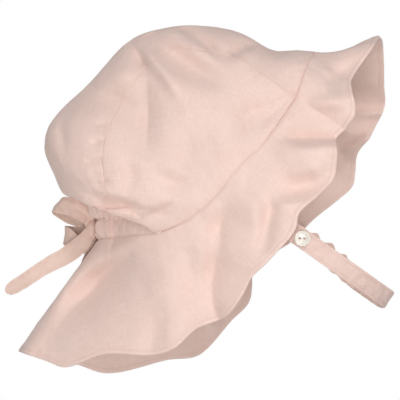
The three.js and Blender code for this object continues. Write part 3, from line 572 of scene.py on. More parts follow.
# %% Folds of the crown
NEAR_CROWN_FOLDS = [
    ([(86, 85), (104, 92), (122, 99), (146, 107)], 3.4, -11, 18, 0.6, 0.0),
    ([(98, 70), (120, 74), (138, 82)], -1.4, 8, 8, 0.3, 0.1),
    ([(145, 62), (147, 85), (148, 112), (147, 140), (146, 168)], 4.6, -15, 26, 0.3, 0.05),
    ([(138, 40), (152, 58), (168, 78), (186, 106)], -2.6, 9, 7, 0.6, 0.1),
    ([(130, 42), (139, 56), (149, 76)], 2.2, 5, 6, 0.6, 0.0),
    ([(150, 38), (168, 51), (190, 65), (212, 77), (236, 90)], 4.4, 11, 13, 0.5, 0.05),
    ([(184, 28), (202, 40), (216, 52), (223, 63)], 3.4, 7, 5, 0.8, 0.05),
    ([(262, 40), (246, 45), (232, 53), (222, 63)], 3.0, 5, 7, 0.6, 0.05),
    ([(220, 114), (246, 112), (268, 104), (290, 97)], 3.6, -15, 22, 0.05, 0.4),
    ([(66, 106), (61, 130), (65, 158)], 1.4, 6, 6, 0.4, 0.3),
    ([(82, 193), (102, 201), (121, 204), (141, 211), (160, 213)], 2.6, 5, 24, 0.1, 0.1),
    ([(140, 219), (158, 213), (182, 202)], 1.7, 5, 14, 0.5, 0.1),
    ([(88, 144), (103, 141)], 1.1, 2.6, 3.0, 0.1, 0.9),
    ([(82, 162), (103, 160)], 1.3, 2.6, 3.4, 0.1, 0.9),
    ([(90, 127), (107, 123)], 0.8, 2.6, 3.0, 0.1, 0.9),
    ([(92, 186), (107, 181)], 1.0, 2.6, 3.4, 0.1, 0.9),
    ([(88, 174), (104, 171)], 0.7, 2.6, 3.0, 0.1, 0.9),
    ([(182, 120), (188, 150), (180, 186)], 1.2, 12, 12, 0.1, 0.2),
    ([(212, 120), (222, 146), (218, 172)], -1.1, 10, 10, 0.1, 0.2),
    ([(122, 150), (130, 176), (126, 200)], 1.6, 10, 6, 0.1, 0.4),
    ([(150, 172), (170, 182), (196, 186)], 1.4, 8, 7, 0.1, 0.2),
]
FAR_CROWN_FOLDS = [
    ([(96, 104), (124, 98), (152, 108)], 4.0, 9, 4.4, 0.3, 0.1),
    ([(170, 70), (176, 100), (168, 140)], 3.2, 12, 4, 0.2, 0.1),
    ([(196, 48), (222, 66), (238, 90)], 2.6, 8, 6, 0.3, 0.1),
    ([(240, 116), (266, 106), (288, 100)], 2.8, 12, 4.4, 0.1, 0.7),
    ([(70, 150), (90, 160), (112, 158)], 2.0, 6, 6, 0.4, 0.3),
    ([(64, 188), (84, 198), (104, 204), (141, 215), (160, 217)], 4.6, 4, 10, 0.5, 0.2),
    ([(120, 150), (134, 176), (130, 204)], 1.6, 9, 8, 0.1, 0.4),
    ([(196, 130), (204, 158), (198, 188)], 1.2, 11, 11, 0.1, 0.2),
]
print("folds on the crown:", len(NEAR_CROWN_FOLDS), "near and", len(FAR_CROWN_FOLDS), "far")


# %% Height of the crown's cloth, without its seams
NAPE_PLEATS = 1.1
NAPE_SAG = 2.6


def crown_height(at, angle, points, normals):
    """Millimetres that the crown's cloth stands out from the smooth crown, and how its folds move it."""
    folds = press(points, normals, NEAR_CROWN_FOLDS, ease(-points[..., 1], -4, 8))
    folds = folds + press(points, normals, FAR_CROWN_FOLDS, ease(points[..., 1], 0, 14))
    foot = 1 - np.abs(angle) / angle_at(at, np.zeros_like(at))
    calm = ease(at, 0, 0.07) * ease(1 - at, 0, 0.05) * ease(foot, 0, 0.12 - 0.08 * ease(at, 0.7, 0.9))
    along = at * 300
    across = angle * 62
    soft = 0.55 * ripple(along, across, 26, 11) + 0.34 * ripple(along, across, 12, 12)
    fine = 0.16 * ripple(along + across * 0.4, across, 5.2, 13) + 0.07 * ripple(along, across, 2.6, 14)
    gather = ease(at, 0.86, 1.0) + ease(0.16 - foot, 0, 0.16) * ease(at, 0.8, 0.9)
    around_nape = across * 1.1 + along * 0.3
    pleats = NAPE_PLEATS * ripple(around_nape, along * 0.06, 3.6, 15) * gather
    sag = NAPE_SAG * ease(at, 0.93, 0.965) * ease(1 - at, 0, 0.02)
    return (soft + fine) * (0.35 + 0.65 * calm) + pleats + sag, folds * calm[..., None]


print("the crown's cloth is worked out from folds, soft wrinkles and the gathers at the nape")


# %% The crown's underside, drawn up over the casing
def drawn_up(points, share):
    """The points, lifted where the tie draws the crown's underside up over the casing."""
    right = seen(points)[..., 0]
    lift = (3.0 + 0.2 * np.clip(right - 114, 0, None)) * ease(right, 100, 124) * (1 - ease(right, 138, 154)) * share
    return points + lift[..., None] * np.array([0.0, 0.0, 1.0])


# %% Cloth of one crown piece
CROWN_ROWS = np.concatenate([
    np.linspace(0.0, 0.02, 8)[:-1], np.linspace(0.02, 0.98, 230), np.linspace(0.98, 1.0, 8)[1:]])


def edge_shares(count, margin_count, margin):
    """Shares from 0 to 1 that crowd together near both ends."""
    start = np.linspace(0, margin, margin_count)
    middle = np.linspace(margin, 1 - margin, count)
    return np.concatenate([start[:-1], middle, (1 - start)[::-1][1:]])


def turned_cut(uv, degrees):
    """The same map with the weave turned, as when a piece is cut across the cloth."""
    turn = math.radians(degrees)
    return uv @ np.array([[math.cos(turn), math.sin(turn)], [-math.sin(turn), math.cos(turn)]])


def crown_piece(name, from_angle, to_angle, shares, foot_edge, seeds, cut=0.0):
    """Piece of the crown between two angles of each arch. The foot edge is sewn to the brim."""
    at = np.broadcast_to(CROWN_ROWS[:, None], (len(CROWN_ROWS), len(shares)))
    angle = from_angle(CROWN_ROWS)[:, None] * (1 - shares) + to_angle(CROWN_ROWS)[:, None] * shares
    points = plain_crown(at, angle)
    normals = normals_of(plain_crown, np.clip(at, 0.004, 0.996), angle)
    row_reach = lengths_from(points, 0)
    start_away = lengths_from(points, 1)
    end_away = lengths_from(points, 1, end=True)
    narrow = ease(start_away[:, -1:] * np.ones_like(at), 2, 9)
    along = row_reach[:, len(shares) // 2][:, None] * np.ones_like(at)
    height, folds = crown_height(at, angle, points, normals)
    height = height + narrow * beside_seam(end_away, along, seeds[0], puckers=0.34)
    if foot_edge:
        height = height + narrow * beside_seam(start_away, along, seeds[1], groove=0.16)
    else:
        height = height + narrow * beside_seam(start_away, along, seeds[1], puckers=0.34)
    height = height + beside_seam(row_reach, start_away, seeds[0] + 5, groove=0.16) * ease(start_away, 1, 5)
    outer = points + normals * height[..., None] + folds
    foot = 1 - np.abs(angle) / angle_at(at, np.zeros_like(at))
    under = ease(at, 0.8, 0.88) * (1 - ease(at, 0.94, 0.985)) * ease(foot, 0, 0.05) * (1 - ease(foot, 0.1, 0.6))
    outer = drawn_up(outer, under)
    thick = CLOTH_THICK * (0.55 + 0.45 * ease(np.minimum(start_away, end_away), 0, 2.5))
    inner = outer - normals * thick[..., None]
    uv = turned_cut(np.stack([along, start_away], axis=-1) * MM, cut)
    # Share of painted seam shade: strongest at the piece's edges, fading within about a millimetre.
    seam = np.exp(-(np.minimum(np.minimum(start_away, end_away), row_reach) / 1.1) ** 2)
    piece = wall(name, outer, inner, uv, seam)
    return piece, outer, normals


def band_angle(at):
    return angle_at(at, smooth(ARCHES, "band", at))


def foot_angle(at):
    return angle_at(at, np.zeros_like(at))


BAND_SHARES = edge_shares(110, 9, 0.035)
PANEL_SHARES = edge_shares(96, 9, 0.045)
crown_band, band_outer, band_normals = crown_piece(
    "crown_band_cloth", lambda at: -band_angle(at), band_angle, BAND_SHARES, False, (21, 31))
panel_near, near_outer, near_normals = crown_piece(
    "crown_near_cloth", lambda at: -foot_angle(at), lambda at: -band_angle(at), PANEL_SHARES, True, (22, 32), 38.0)
panel_far, far_outer, far_normals = crown_piece(
    "crown_far_cloth", foot_angle, band_angle, PANEL_SHARES, True, (23, 33), -38.0)
print("crown faces:", [len(piece.data.polygons) for piece in (crown_band, panel_near, panel_far)])

# %% [markdown]
# ## The brim
# The brim is cut as two flared layers, sewn together at the edge, turned and topstitched, so its edge is thick
# and rounded with a narrow dent along the stitches. It is made as one wall that goes once round the hat, with
# the same kind of folds. Its dense rows lie at the edge and at the seam, where the eye looks for detail.

# %% Folds of the brim
NEAR_BRIM_FOLDS = [
    ([(266, 136), (300, 138), (338, 137), (356, 134)], 4.6, -15, 5, 0.03, 0.9),
    ([(284, 149), (310, 149), (338, 149)], -1.8, 7, 8, 0.2, 0.8),
    ([(296, 108), (326, 103), (354, 98)], -1.6, 8, 8, 0.1, 0.8),
    ([(262, 182), (296, 188), (320, 183), (334, 174)], 3.8, 12, 14, 0.05, 0.8),
    ([(268, 204), (288, 204), (310, 198)], -1.4, 6, 6, 0.2, 0.5),
    ([(356, 64), (340, 75), (324, 90)], 2.4, 10, 8, 0.6, 0.1),
    ([(222, 192), (221, 225), (220, 256)], 3.2, -9, 20, 0.3, 0.1),
    ([(222, 236), (215, 262), (212, 288), (214, 308), (222, 326)], 7.4, -20, 28, 0.1, 0.9),
    ([(204, 214), (202, 250), (199, 300)], -1.4, 9, 12, 0.2, 0.6),
    ([(192, 236), (190, 270), (196, 322)], 1.2, 9, 9, 0.1, 0.6),
    ([(152, 240), (124, 260), (96, 286), (70, 312), (52, 332)], 8.4, -24, 16, 0.1, 0.15),
    ([(126, 236), (128, 250), (131, 266)], 1.0, 4.6, 3, 0.6, 0.1),
    ([(268, 190), (270, 214), (264, 244)], 3.4, 8, 9, 0.1, 0.5),
    ([(244, 168), (246, 192)], 0.9, 4.6, 3, 0.3, 0.1),
    ([(152, 306), (158, 326), (150, 352)], 1.0, 10, 10, 0.2, 0.8),
]
FAR_BRIM_FOLDS = [
    ([(338, 151), (352, 146), (366, 138)], 2.4, 5, 12, 0.3, 0.9),
    ([(350, 117), (366, 114), (382, 113)], 1.8, 6, 5, 0.3, 0.9),
    ([(232, 190), (232, 226), (238, 266)], 3.4, 8, 8, 0.1, 0.8),
    ([(196, 236), (200, 270), (210, 322)], 3.2, 9, 9, 0.1, 0.7),
    ([(160, 246), (130, 276), (84, 322)], 5.2, 20, 8, 0.15, 0.8),
    ([(110, 246), (84, 286), (52, 330)], 2.4, 9, 9, 0.2, 0.6),
]
print("folds on the brim:", len(NEAR_BRIM_FOLDS), "near and", len(FAR_BRIM_FOLDS), "far")

# %% Cloth of the brim
BRIM_ROWS = np.linspace(-1, 1, 721)[:-1]
BRIM_OUT = np.concatenate([
    np.linspace(0.0, 0.05, 7)[:-1], np.linspace(0.05, 0.9, 30)[:-1], np.linspace(0.9, 1.0, 13)])
HEM_WIDTH = 6.0
HEM_STITCH = 2.5
HEM_THICK = 0.16
brim_at, brim_out = np.meshgrid(BRIM_ROWS, BRIM_OUT, indexing="ij")
brim_plain = plain_brim(brim_at, brim_out)
brim_normals = normals_of(plain_brim, brim_at, np.clip(brim_out, 0.01, 0.99))
brim_reach = lengths_from(brim_plain, 1)
brim_to_hem = lengths_from(brim_plain, 1, end=True)
hem_length = np.concatenate([[0], np.cumsum(np.linalg.norm(np.diff(brim_plain[:, -1], axis=0), axis=1))])
middle_length = np.concatenate([[0], np.cumsum(np.linalg.norm(np.diff(brim_plain[:, 24], axis=0), axis=1))])
seam_length_at = (brim_at + 1) * SEAM_LENGTH


def wrapped_ripple(size, seed, stretch=1.0):
    """Ripple over the brim whose two ends at the centre back meet."""
    around = middle_length[:, None] * np.ones_like(brim_at)
    total = middle_length[-1] + (middle_length[-1] - middle_length[-2])
    blend = ease(around, total - 60, total)
    here = ripple(around, brim_reach * stretch, size, seed)
    there = ripple(around - total, brim_reach * stretch, size, seed)
    return here * (1 - blend) + there * blend


def hem_shape(to_hem, along):
    """Height of the hem's cloth over its distance to the edge."""
    thicker = HEM_THICK * ease(HEM_WIDTH - to_hem, 0, 2.0) * ease(to_hem, 0.0, 1.4)
    dent = -0.38 * np.exp(-((to_hem - HEM_STITCH) / 0.45) ** 2)
    pucker = 0.22 * ripple(along, to_hem * 0.1, 3.0, 41) * np.exp(-((to_hem - HEM_STITCH) / 3.5) ** 2)
    return thicker + dent + pucker


near_share = ease(-brim_plain[..., 1], -5, 4)
far_share = ease(brim_plain[..., 1], -2, 14)
calm = ease(brim_out, 0.02, 0.34)
fold_move = press(brim_plain, brim_normals, NEAR_BRIM_FOLDS, near_share * calm)
fold_move += press(brim_plain, brim_normals, FAR_BRIM_FOLDS, far_share * calm)
brim_height = ease(brim_out, 0.0, 0.2) * (0.5 * wrapped_ripple(24, 42, 0.6) + 0.3 * wrapped_ripple(11, 43, 0.6))
brim_height += 0.14 * wrapped_ripple(5.0, 44) + 0.06 * wrapped_ripple(2.5, 45)
hem_along = hem_length[:, None] * np.ones_like(brim_at)
brim_height += hem_shape(brim_to_hem, hem_along)
front = 1 - ease(np.abs(brim_at), 0.1, 0.25)
seam_side = -(0.34 + 0.7 * front) * np.exp(-(brim_reach / (0.6 + 0.5 * front)) ** 2)
seam_side = seam_side + 0.14 * np.exp(-((brim_reach - 2.4) / 1.6) ** 2)
small_pucker = 0.45 * ripple(seam_length_at, brim_reach * 0.12, 4.0, 46)
wide_pucker = 0.7 * ripple(seam_length_at, brim_reach * 0.06, 9.0, 47)
seam_pucker = small_pucker * np.exp(-brim_reach / 8) * ease(brim_reach, 0, 1.5)
seam_pucker += wide_pucker * np.exp(-brim_reach / 18) * ease(brim_reach, 0, 3)
brim_height += seam_side + seam_pucker
brim_outer = brim_plain + brim_normals * brim_height[..., None] + fold_move
brim_wall = BRIM_THICK * (0.5 + 0.5 * ease(brim_reach, 0, 2.0)) + 0.8 * hem_shape(brim_to_hem, hem_along)
brim_inner = brim_outer - brim_normals * np.maximum(brim_wall, 0.5)[..., None]
brim_uv = np.stack([middle_length[:, None] * np.ones_like(brim_at), brim_reach], axis=-1) * MM
closing = brim_uv[:1].copy()
closing[..., 0] = (2 * middle_length[-1] - middle_length[-2]) * MM
brim_uv = np.concatenate([brim_uv, closing])
# Share of painted shade along the brim's seam and, weaker, along the hem stitches.
brim_seam = np.maximum(np.exp(-(brim_reach / 1.4) ** 2), 0.6 * np.exp(-((brim_to_hem - HEM_STITCH) / 0.7) ** 2))
brim = wall("brim_cloth", brim_outer, brim_inner, brim_uv, brim_seam, wrapped=True)
print("brim faces:", len(brim.data.polygons), "edge", round(hem_length[-1]), "mm round")

# %% [markdown]
# ## The gathered casing at the nape
# Under the crown's back edge sits a low tube of cloth with a tie inside it. Pulling the tie gathers the tube
# into small upright pleats. The pleats crowd and spread unevenly, so their strength changes along the tube.

# %% Casing
CASING_START = 0.80
CASING_TUCK = 1.6


def crown_edge():
    at = np.linspace(CASING_START, 1, 31)
    side = plain_crown(at, -foot_angle(at))
    turn = np.linspace(-float(foot_angle(np.array(1.0))), 0, 17)[1:]
    return np.concatenate([side, plain_crown(np.ones(16), turn)])


def evenly(points, count):
    reach = np.concatenate([[0], np.cumsum(np.linalg.norm(np.diff(points, axis=0), axis=1))])
    want = np.linspace(0, reach[-1], count + 1)
    return np.stack([np.interp(want, reach, points[:, k]) for k in range(3)], axis=-1)


def mirrored(half):
    return np.concatenate([half, half[-2::-1] * np.array([1, -1, 1])])


CASING_TOP = mirrored(evenly(crown_edge(), 60))
CASING_FOOT = mirrored(evenly(SEAM[40 + round(CASING_START * 100):], 60))


def along_line(points, share):
    place = np.clip(share, 0, 1) * (len(points) - 1)
    return np.stack([np.interp(place, np.arange(len(points)), points[:, k]) for k in range(3)], axis=-1)


def casing_surface(share, rise):
    foot = along_line(CASING_FOOT, share)
    top = along_line(CASING_TOP, share)
    reach = np.clip(rise, 0, 1)
    point = foot + (top - foot) * rise[..., None]
    ahead = along_line(CASING_FOOT, share + 0.02) - along_line(CASING_FOOT, share - 0.02)
    outwards = unit(np.cross(ahead, np.array([0.0, 0.0, -1.0])))
    tall = np.linalg.norm(top - foot, axis=-1) / CASING_HEIGHT
    bunched = 1 - ease(np.abs(share - 0.5), 0.09, 0.24)
    strength = 0.22 + 1.1 * bunched
    phase = 2 * math.pi * CASING_PLEATS * share + 2.2 * ripple(share * 120, rise * 2, 5, 51)
    phase = phase + 1.8 * (rise - 0.5) * bunched * np.sign(share - 0.5)
    pleat = np.cos(phase) * strength
    swell = np.sin(math.pi * reach) ** 0.7 * (1 + pleat) * PLEAT_DEPTH * np.minimum(tall, 1.2) * 1.4
    swell += 0.35 * ripple(share * 150, rise * 5, 1.8, 52) * np.sin(math.pi * reach)
    swell -= CASING_TUCK * np.abs(rise - reach) / 0.3
    return point + outwards * swell[..., None]


casing_share, casing_rise = np.meshgrid(np.linspace(0.002, 0.998, 420), np.linspace(-0.12, 1.3, 36), indexing="ij")
casing_outer = casing_surface(casing_share, casing_rise)
casing_normals = normals_of(casing_surface, casing_share, casing_rise, 0.0025)
casing_inner = casing_outer - casing_normals * CLOTH_THICK
casing_uv = np.stack([lengths_from(casing_outer, 0), lengths_from(casing_outer, 1)], axis=-1) * MM
casing_seam = np.exp(-(np.minimum(np.abs(casing_rise), np.abs(1 - casing_rise)) / 0.09) ** 2)
casing = wall("nape_casing_cloth", casing_outer, casing_inner, casing_uv, casing_seam)
print("casing faces:", len(casing.data.polygons))

# %% [markdown]
# ## Tapes of folded cloth
# The bow, its tails, the strap and the tab are tapes: a strip folded lengthwise and stitched near both edges.
# A tape follows a smooth line through a few points, and its width turns with it. The cross-section has round
# edges and a shallow dent under each row of stitches.


# %% Smooth line through points
def curve_through(points, at):
    """Points on a smooth line through others, paced by the square root of their distances."""
    points = np.asarray(points, float)
    last = len(points) - 1
    place = np.clip(np.asarray(at, float), 0, 1) * last
    i = np.minimum(np.floor(place).astype(int), last - 1)
    t = (place - i)[..., None]
    before = np.concatenate([[2 * points[0] - points[1]], points[:-1]])
    after = np.concatenate([points[1:], [2 * points[-1] - points[-2]]])
    a, b, c, d = before[i], points[i], points[i + 1], after[i + 1]
    d0 = np.linalg.norm(b - a, axis=-1, keepdims=True) ** 0.5
    d1 = np.linalg.norm(c - b, axis=-1, keepdims=True) ** 0.5
    d2 = np.linalg.norm(d - c, axis=-1, keepdims=True) ** 0.5
    start = ((b - a) / d0 - (c - a) / (d0 + d1) + (c - b) / d1) * d1
    end = ((c - b) / d1 - (d - b) / (d1 + d2) + (d - c) / d2) * d1
    return b + start * t + (3 * (c - b) - 2 * start - end) * t**2 + (2 * (b - c) + start + end) * t**3


def tape_frame(middles, ways, widths, count):
    """Middle line, width direction, normal and half width of a tape at even places."""
    at = np.linspace(0, 1, count)
    place = np.linspace(0, 1, len(middles))
    middle = curve_through(middles, at)
    ahead = unit(curve_through(middles, at + 0.0005) - curve_through(middles, at - 0.0005))
    rows = {"at": place, "wide": np.asarray(widths, float)}
    for k, name in enumerate("xyz"):
        rows[name] = np.asarray(ways, float)[:, k]
    way = np.stack([smooth(rows, name, at) for name in "xyz"], axis=-1)
    way = unit(way - ahead * (way * ahead).sum(-1, keepdims=True))
    return middle, way, np.cross(ahead, way), smooth(rows, "wide", at) / 2


print("a curve through three points ends at", curve_through([[0, 0, 0], [1, 0, 0], [2, 1, 0]], np.array([1.0])))

# %% Tape as a closed wall
TAPE_SHARES = np.sin(np.linspace(-1, 1, 25) * math.pi / 2)
TAPE_STITCH = 1.5


def tape(name, middle, way, normal, half, thick, seed, crumple=0.25, cup=0.0, stitched=True):
    """A tape with stitched edges. Cup bends its middle off the line, and crumple creases it."""
    shares = TAPE_SHARES[None, :]
    across = half[:, None] * shares
    along = np.concatenate([[0], np.cumsum(np.linalg.norm(np.diff(middle, axis=0), axis=1))])[:, None]
    to_edge = half[:, None] - np.abs(across)
    along = along * np.ones_like(across)
    lift = crumple * (ripple(along, across * 1.3, 7.0, seed) + 0.6 * ripple(along, across * 1.6, 3.4, seed + 1))
    lift += cup * (1 - shares ** 2)
    lift += 0.16 * crumple / 0.25 * ripple(along, across * 0.15, 2.6, seed + 2) * np.exp(-(to_edge / 2.6) ** 2)
    dent = 0.16 * np.exp(-((to_edge - TAPE_STITCH) / 0.38) ** 2) if stitched else 0.0
    body = thick / 2 * (0.86 + 0.14 * ease(to_edge, 0, 1.2)) - dent
    place = middle[:, None] + way[:, None] * across[..., None]
    outer = place + normal[:, None] * (lift + body)[..., None]
    inner = place + normal[:, None] * (lift - body)[..., None]
    uv = np.stack([along, across], axis=-1) * MM
    seam = 0.7 * np.exp(-((to_edge - TAPE_STITCH) / 0.5) ** 2) * np.ones_like(along)
    return wall(name, outer, inner, uv, seam), outer


print("a tape is", TAPE_WIDTH, "mm wide")

# %% [markdown]
# ## The bow
# The tie is knotted over the middle of the casing into a bow with two loops and two tails. The near loop lies
# flat with its end folded, the far one stands open, and the near tail hangs down behind the flap.

# %% Tables of the bow
BOW_COLUMNS = "ahead up side wayAhead wayUp wide"
NEAR_LOOP = table(BOW_COLUMNS, [
    [0.0, 0.03, -0.04, -0.75, -0.65, 0.6],
    [-0.04, 0.225, -0.12, -0.7, -0.7, 0.85],
    [-0.17, 0.345, -0.24, -0.65, -0.75, 0.96],
    [-0.42, 0.47, -0.25, -0.6, -0.8, 1.0],
    [-0.67, 0.505, -0.18, -0.57, -0.82, 1.0],
    [-0.75, 0.495, 0.0, -0.57, -0.82, 1.0],
    [-0.69, 0.435, 0.16, -0.57, -0.82, 1.0],
    [-0.49, 0.305, 0.2, -0.5, -0.87, 0.97],
    [-0.23, 0.215, 0.16, -0.5, -0.87, 0.9],
    [-0.02, 0.06, 0.07, -0.6, -0.8, 0.6],
])
FAR_LOOP = table(BOW_COLUMNS, [
    [0.0, 0.02, 0.08, 0.0, -1.0, 0.65],
    [-0.25, -0.07, 0.26, 0.0, -1.0, 0.95],
    [-0.48, -0.1, 0.38, -0.05, -1.0, 1.0],
    [-0.62, -0.09, 0.33, -0.1, -1.0, 1.0],
    [-0.64, -0.1, 0.2, -0.1, -1.0, 1.0],
    [-0.56, -0.14, 0.09, -0.1, -1.0, 1.0],
    [-0.39, -0.29, 0.03, -0.1, -1.0, 0.9],
    [-0.2, -0.36, 0.0, 0.2, -0.97, 0.8],
    [0.0, -0.1, 0.0, 0.4, -0.9, 0.7],
])
NEAR_TAIL = table(BOW_COLUMNS, [
    [0.0, -0.01, -0.05, 0.6, -0.8, 0.6],
    [-0.045, -0.085, -0.075, 0.6, -0.8, 0.88],
    [-0.12, -0.15, -0.07, 0.5, -0.87, 1.0],
    [-0.19, -0.204, -0.08, 0.45, -0.89, 0.95],
    [-0.29, -0.254, -0.08, 0.47, -0.88, 0.9],
    [-0.38, -0.304, -0.07, 0.47, -0.88, 0.82],
    [-0.48, -0.369, -0.06, 0.5, -0.86, 0.8],
    [-0.58, -0.428, -0.04, 0.5, -0.86, 0.76],
    [-0.632, -0.457, -0.03, 0.5, -0.86, 0.58],
    [-0.652, -0.468, -0.03, 0.5, -0.86, 0.24],
])
KNOT_PLACE = side_place(NAPE["ahead"], NAPE["down"], 0.0) + np.array([-5.4, 0.0, 0.6 * CASING_HEIGHT])


def bow_piece(name, rows, size, count, seed, crumple=0.3, cup=0.0):
    middles = KNOT_PLACE + np.stack([rows["ahead"], rows["side"], rows["up"]], axis=-1) * size
    ways = np.stack([rows["wayAhead"], np.zeros(len(middles)), rows["wayUp"]], axis=-1)
    frame_of = tape_frame(middles, ways, rows["wide"] * TAPE_WIDTH, count)
    return tape(name, *frame_of, TAPE_THICK, seed, crumple, cup)


loop_near, loop_near_outer = bow_piece("bow_loop_near_tape", NEAR_LOOP, LOOP_LENGTH, 200, 61, 0.9, 1.2)
loop_far, loop_far_outer = bow_piece("bow_loop_far_tape", FAR_LOOP, LOOP_LENGTH, 180, 64, 0.4, 0.6)
tail_near, tail_near_outer = bow_piece("tie_tail_near_tape", NEAR_TAIL, TIE_LENGTH, 240, 67, 0.4, 0.4)
print("bow around", KNOT_PLACE.round(1))


# %% The second tail, which lies on the flap's far side
def brim_surface(at, out):
    return plain_brim(at, out)


def far_tail():
    share = np.linspace(0, 1, 7)
    at = 0.975 + (0.94 - 0.975) * share
    out = 0.1 + (0.72 - 0.1) * share
    normal = normals_of(brim_surface, at, out, 0.01)
    lying = brim_surface(at, out) + normal * (2.2 + 1.2 * (1 - share))[:, None]
    middles = np.concatenate([[KNOT_PLACE + np.array([0.5, 6.5, -4.0])], lying])
    ways = unit(brim_surface(at - 0.02, out) - brim_surface(at + 0.02, out))
    ways = np.concatenate([[[0.0, 0.7, -0.7]], ways])
    widths = np.array([0.75, 1, 1, 0.97, 0.94, 0.9, 0.85, 0.6]) * TAPE_WIDTH
    return tape("tie_tail_far_tape", *tape_frame(middles, ways, widths, 170), TAPE_THICK, 71, 0.2)


tail_far, tail_far_outer = far_tail()
print("far tail ends at", tail_far_outer[-1, 12].round(1))


# %% The knot
def knot_surface():
    """A lump of tape, wrapped once round and drawn in at the middle."""
    lat, turn = np.meshgrid(
        np.linspace(0.02, math.pi - 0.02, 70), np.linspace(0, 2 * math.pi, 97)[:-1], indexing="ij")

    def box(value):
        return np.sign(value) * np.abs(value) ** 0.75

    wrap = 0.5 * np.cos(5 * lat + 0.8 * np.sin(turn)) + 0.35 * ripple(turn * 3, lat * 5, 1.1, 75)
    size = 1 - 0.07 * np.cos(3 * turn) * np.sin(lat) + 0.05 * wrap * np.sin(lat)
    x = 4.2 * box(np.cos(turn) * np.sin(lat)) * size
    y = 7.8 * box(np.sin(turn) * np.sin(lat)) * size
    z = (KNOT_HEIGHT / 2 - 0.6) * box(np.cos(lat))
    tilt = 0.12
    tilted = [x * math.cos(tilt) + z * math.sin(tilt), y, z * math.cos(tilt) - x * math.sin(tilt)]
    return np.stack(tilted, axis=-1) + KNOT_PLACE


knot_points = knot_surface()


def closed_round(name, points):
    """Closed object from rings of points, with a fan at each pole."""
    rings, around = points.shape[:2]
    flat = np.concatenate([points.reshape(-1, 3), [points[0].mean(0)], [points[-1].mean(0)]])
    faces = []
    for i in range(rings - 1):
        for j in range(around):
            here, there, beside = i * around, (i + 1) * around, (j + 1) % around
            faces.append([here + j, there + j, there + beside, here + beside])
    faces += [[rings * around, j, (j + 1) % around] for j in range(around)]
    base = (rings - 1) * around
    faces += [[rings * around + 1, base + (j + 1) % around, base + j] for j in range(around)]
    mesh = bpy.data.meshes.new(name)
    mesh.from_pydata((flat * MM).tolist(), [], faces)
    mesh.polygons.foreach_set("use_smooth", [True] * len(mesh.polygons))
    layer = mesh.uv_layers.new(name="cloth")
    corner = np.array([v for face in faces for v in face])
    reach = np.stack([(np.arange(len(flat)) % around) * 0.0004, (np.arange(len(flat)) // around) * 0.00025], axis=-1)
    layer.data.foreach_set("uv", reach[corner].ravel())
    near = mesh.attributes.new("seam", "FLOAT", "POINT")
    near.data.foreach_set("value", np.zeros(len(flat), np.float32))
    thing = bpy.data.objects.new(name, mesh)
    bpy.context.collection.objects.link(thing)
    return thing


knot = closed_round("tie_knot_tape", knot_points)
print("knot faces:", len(knot.data.polygons))

# %% [markdown]
# ## The chin strap
# The strap is sewn inside the far side, runs under the chin and comes up to the button on the near side. A
# length of elastic in its far half draws the cloth into ruffles. The tab that carries the button is sewn
# inside the near side. Both start flat against the inside of the brim, by the seam.

# %% Places along the strap
STRAP_ROWS = [
    [0.7, -0.5, 0.75, 0], [0.71, -0.505, 1.0, 0], [0.79, -0.51, 1.0, 0], [0.9, -0.495, 1.0, 0],
    [1.02, -0.46, 1.0, 0], [1.2, -0.4, 1.0, 0], [1.38, -0.31, 1.0, 0], [1.52, -0.2, 1.0, 0],
    [1.6, -0.08, 1.0, 0], [1.61, 0.04, 1.0, 0], [1.56, 0.15, 1.0, 0], [1.42, 0.28, 1.0, 0],
    [1.24, 0.38, 1.0, 0.1], [1.08, 0.44, 1.0, 0.9], [0.9, 0.475, 1.0, 1.0], [0.72, 0.48, 1.0, 0.9],
    [0.5, 0.47, 1.0, 0.1], [0.36, 0.467, 1.0, 0],
]
SEWN_ALONGS = [0.03, 0.12, 0.22]
SEAT = seam_at(np.array(STRAP_SEAT))
STRAP_DOWN = np.array([math.cos(STRAP_TILT), 0.0, -math.sin(STRAP_TILT)])
STRAP_ACROSS = np.array([math.sin(STRAP_TILT), 0.0, math.cos(STRAP_TILT)])


def strap_point(along, side):
    point = np.array([SEAT[0], 0.0, SEAT[2]]) + STRAP_DOWN * along * STRAP_REACH
    point[1] = side * CROWN_WIDTH
    return point - STRAP_ACROSS * 2.4 * ease(side, -0.02, 0.2) * ease(along, 0.9, 1.25)


def sewn_point(side, along, thick):
    """Place where the end of a strap lies flat inside the brim."""
    reach = BRIM_FRONT + (FLAP_DROP - BRIM_FRONT) * 0.54
    across, shift = np.meshgrid(np.linspace(-1, 1, 7), [-0.04, 0, 0.04], indexing="ij")
    at = side * (STRAP_SEAT + across * 0.62 * TAPE_WIDTH / SEAM_LENGTH)
    out = np.clip(along * STRAP_REACH / reach / 0.77 + shift, 0.005, 1)
    inside = plain_brim(at, out) - normals_of(plain_brim, at, np.clip(out, 0.01, 0.99), 0.005) * BRIM_THICK
    point = strap_point(along, 0.0)
    point[1] = side * (np.abs(inside[..., 1]).min() - SEAM_GAP - thick / 2)
    return point


print("strap is sewn in at", SEAT.round(1))


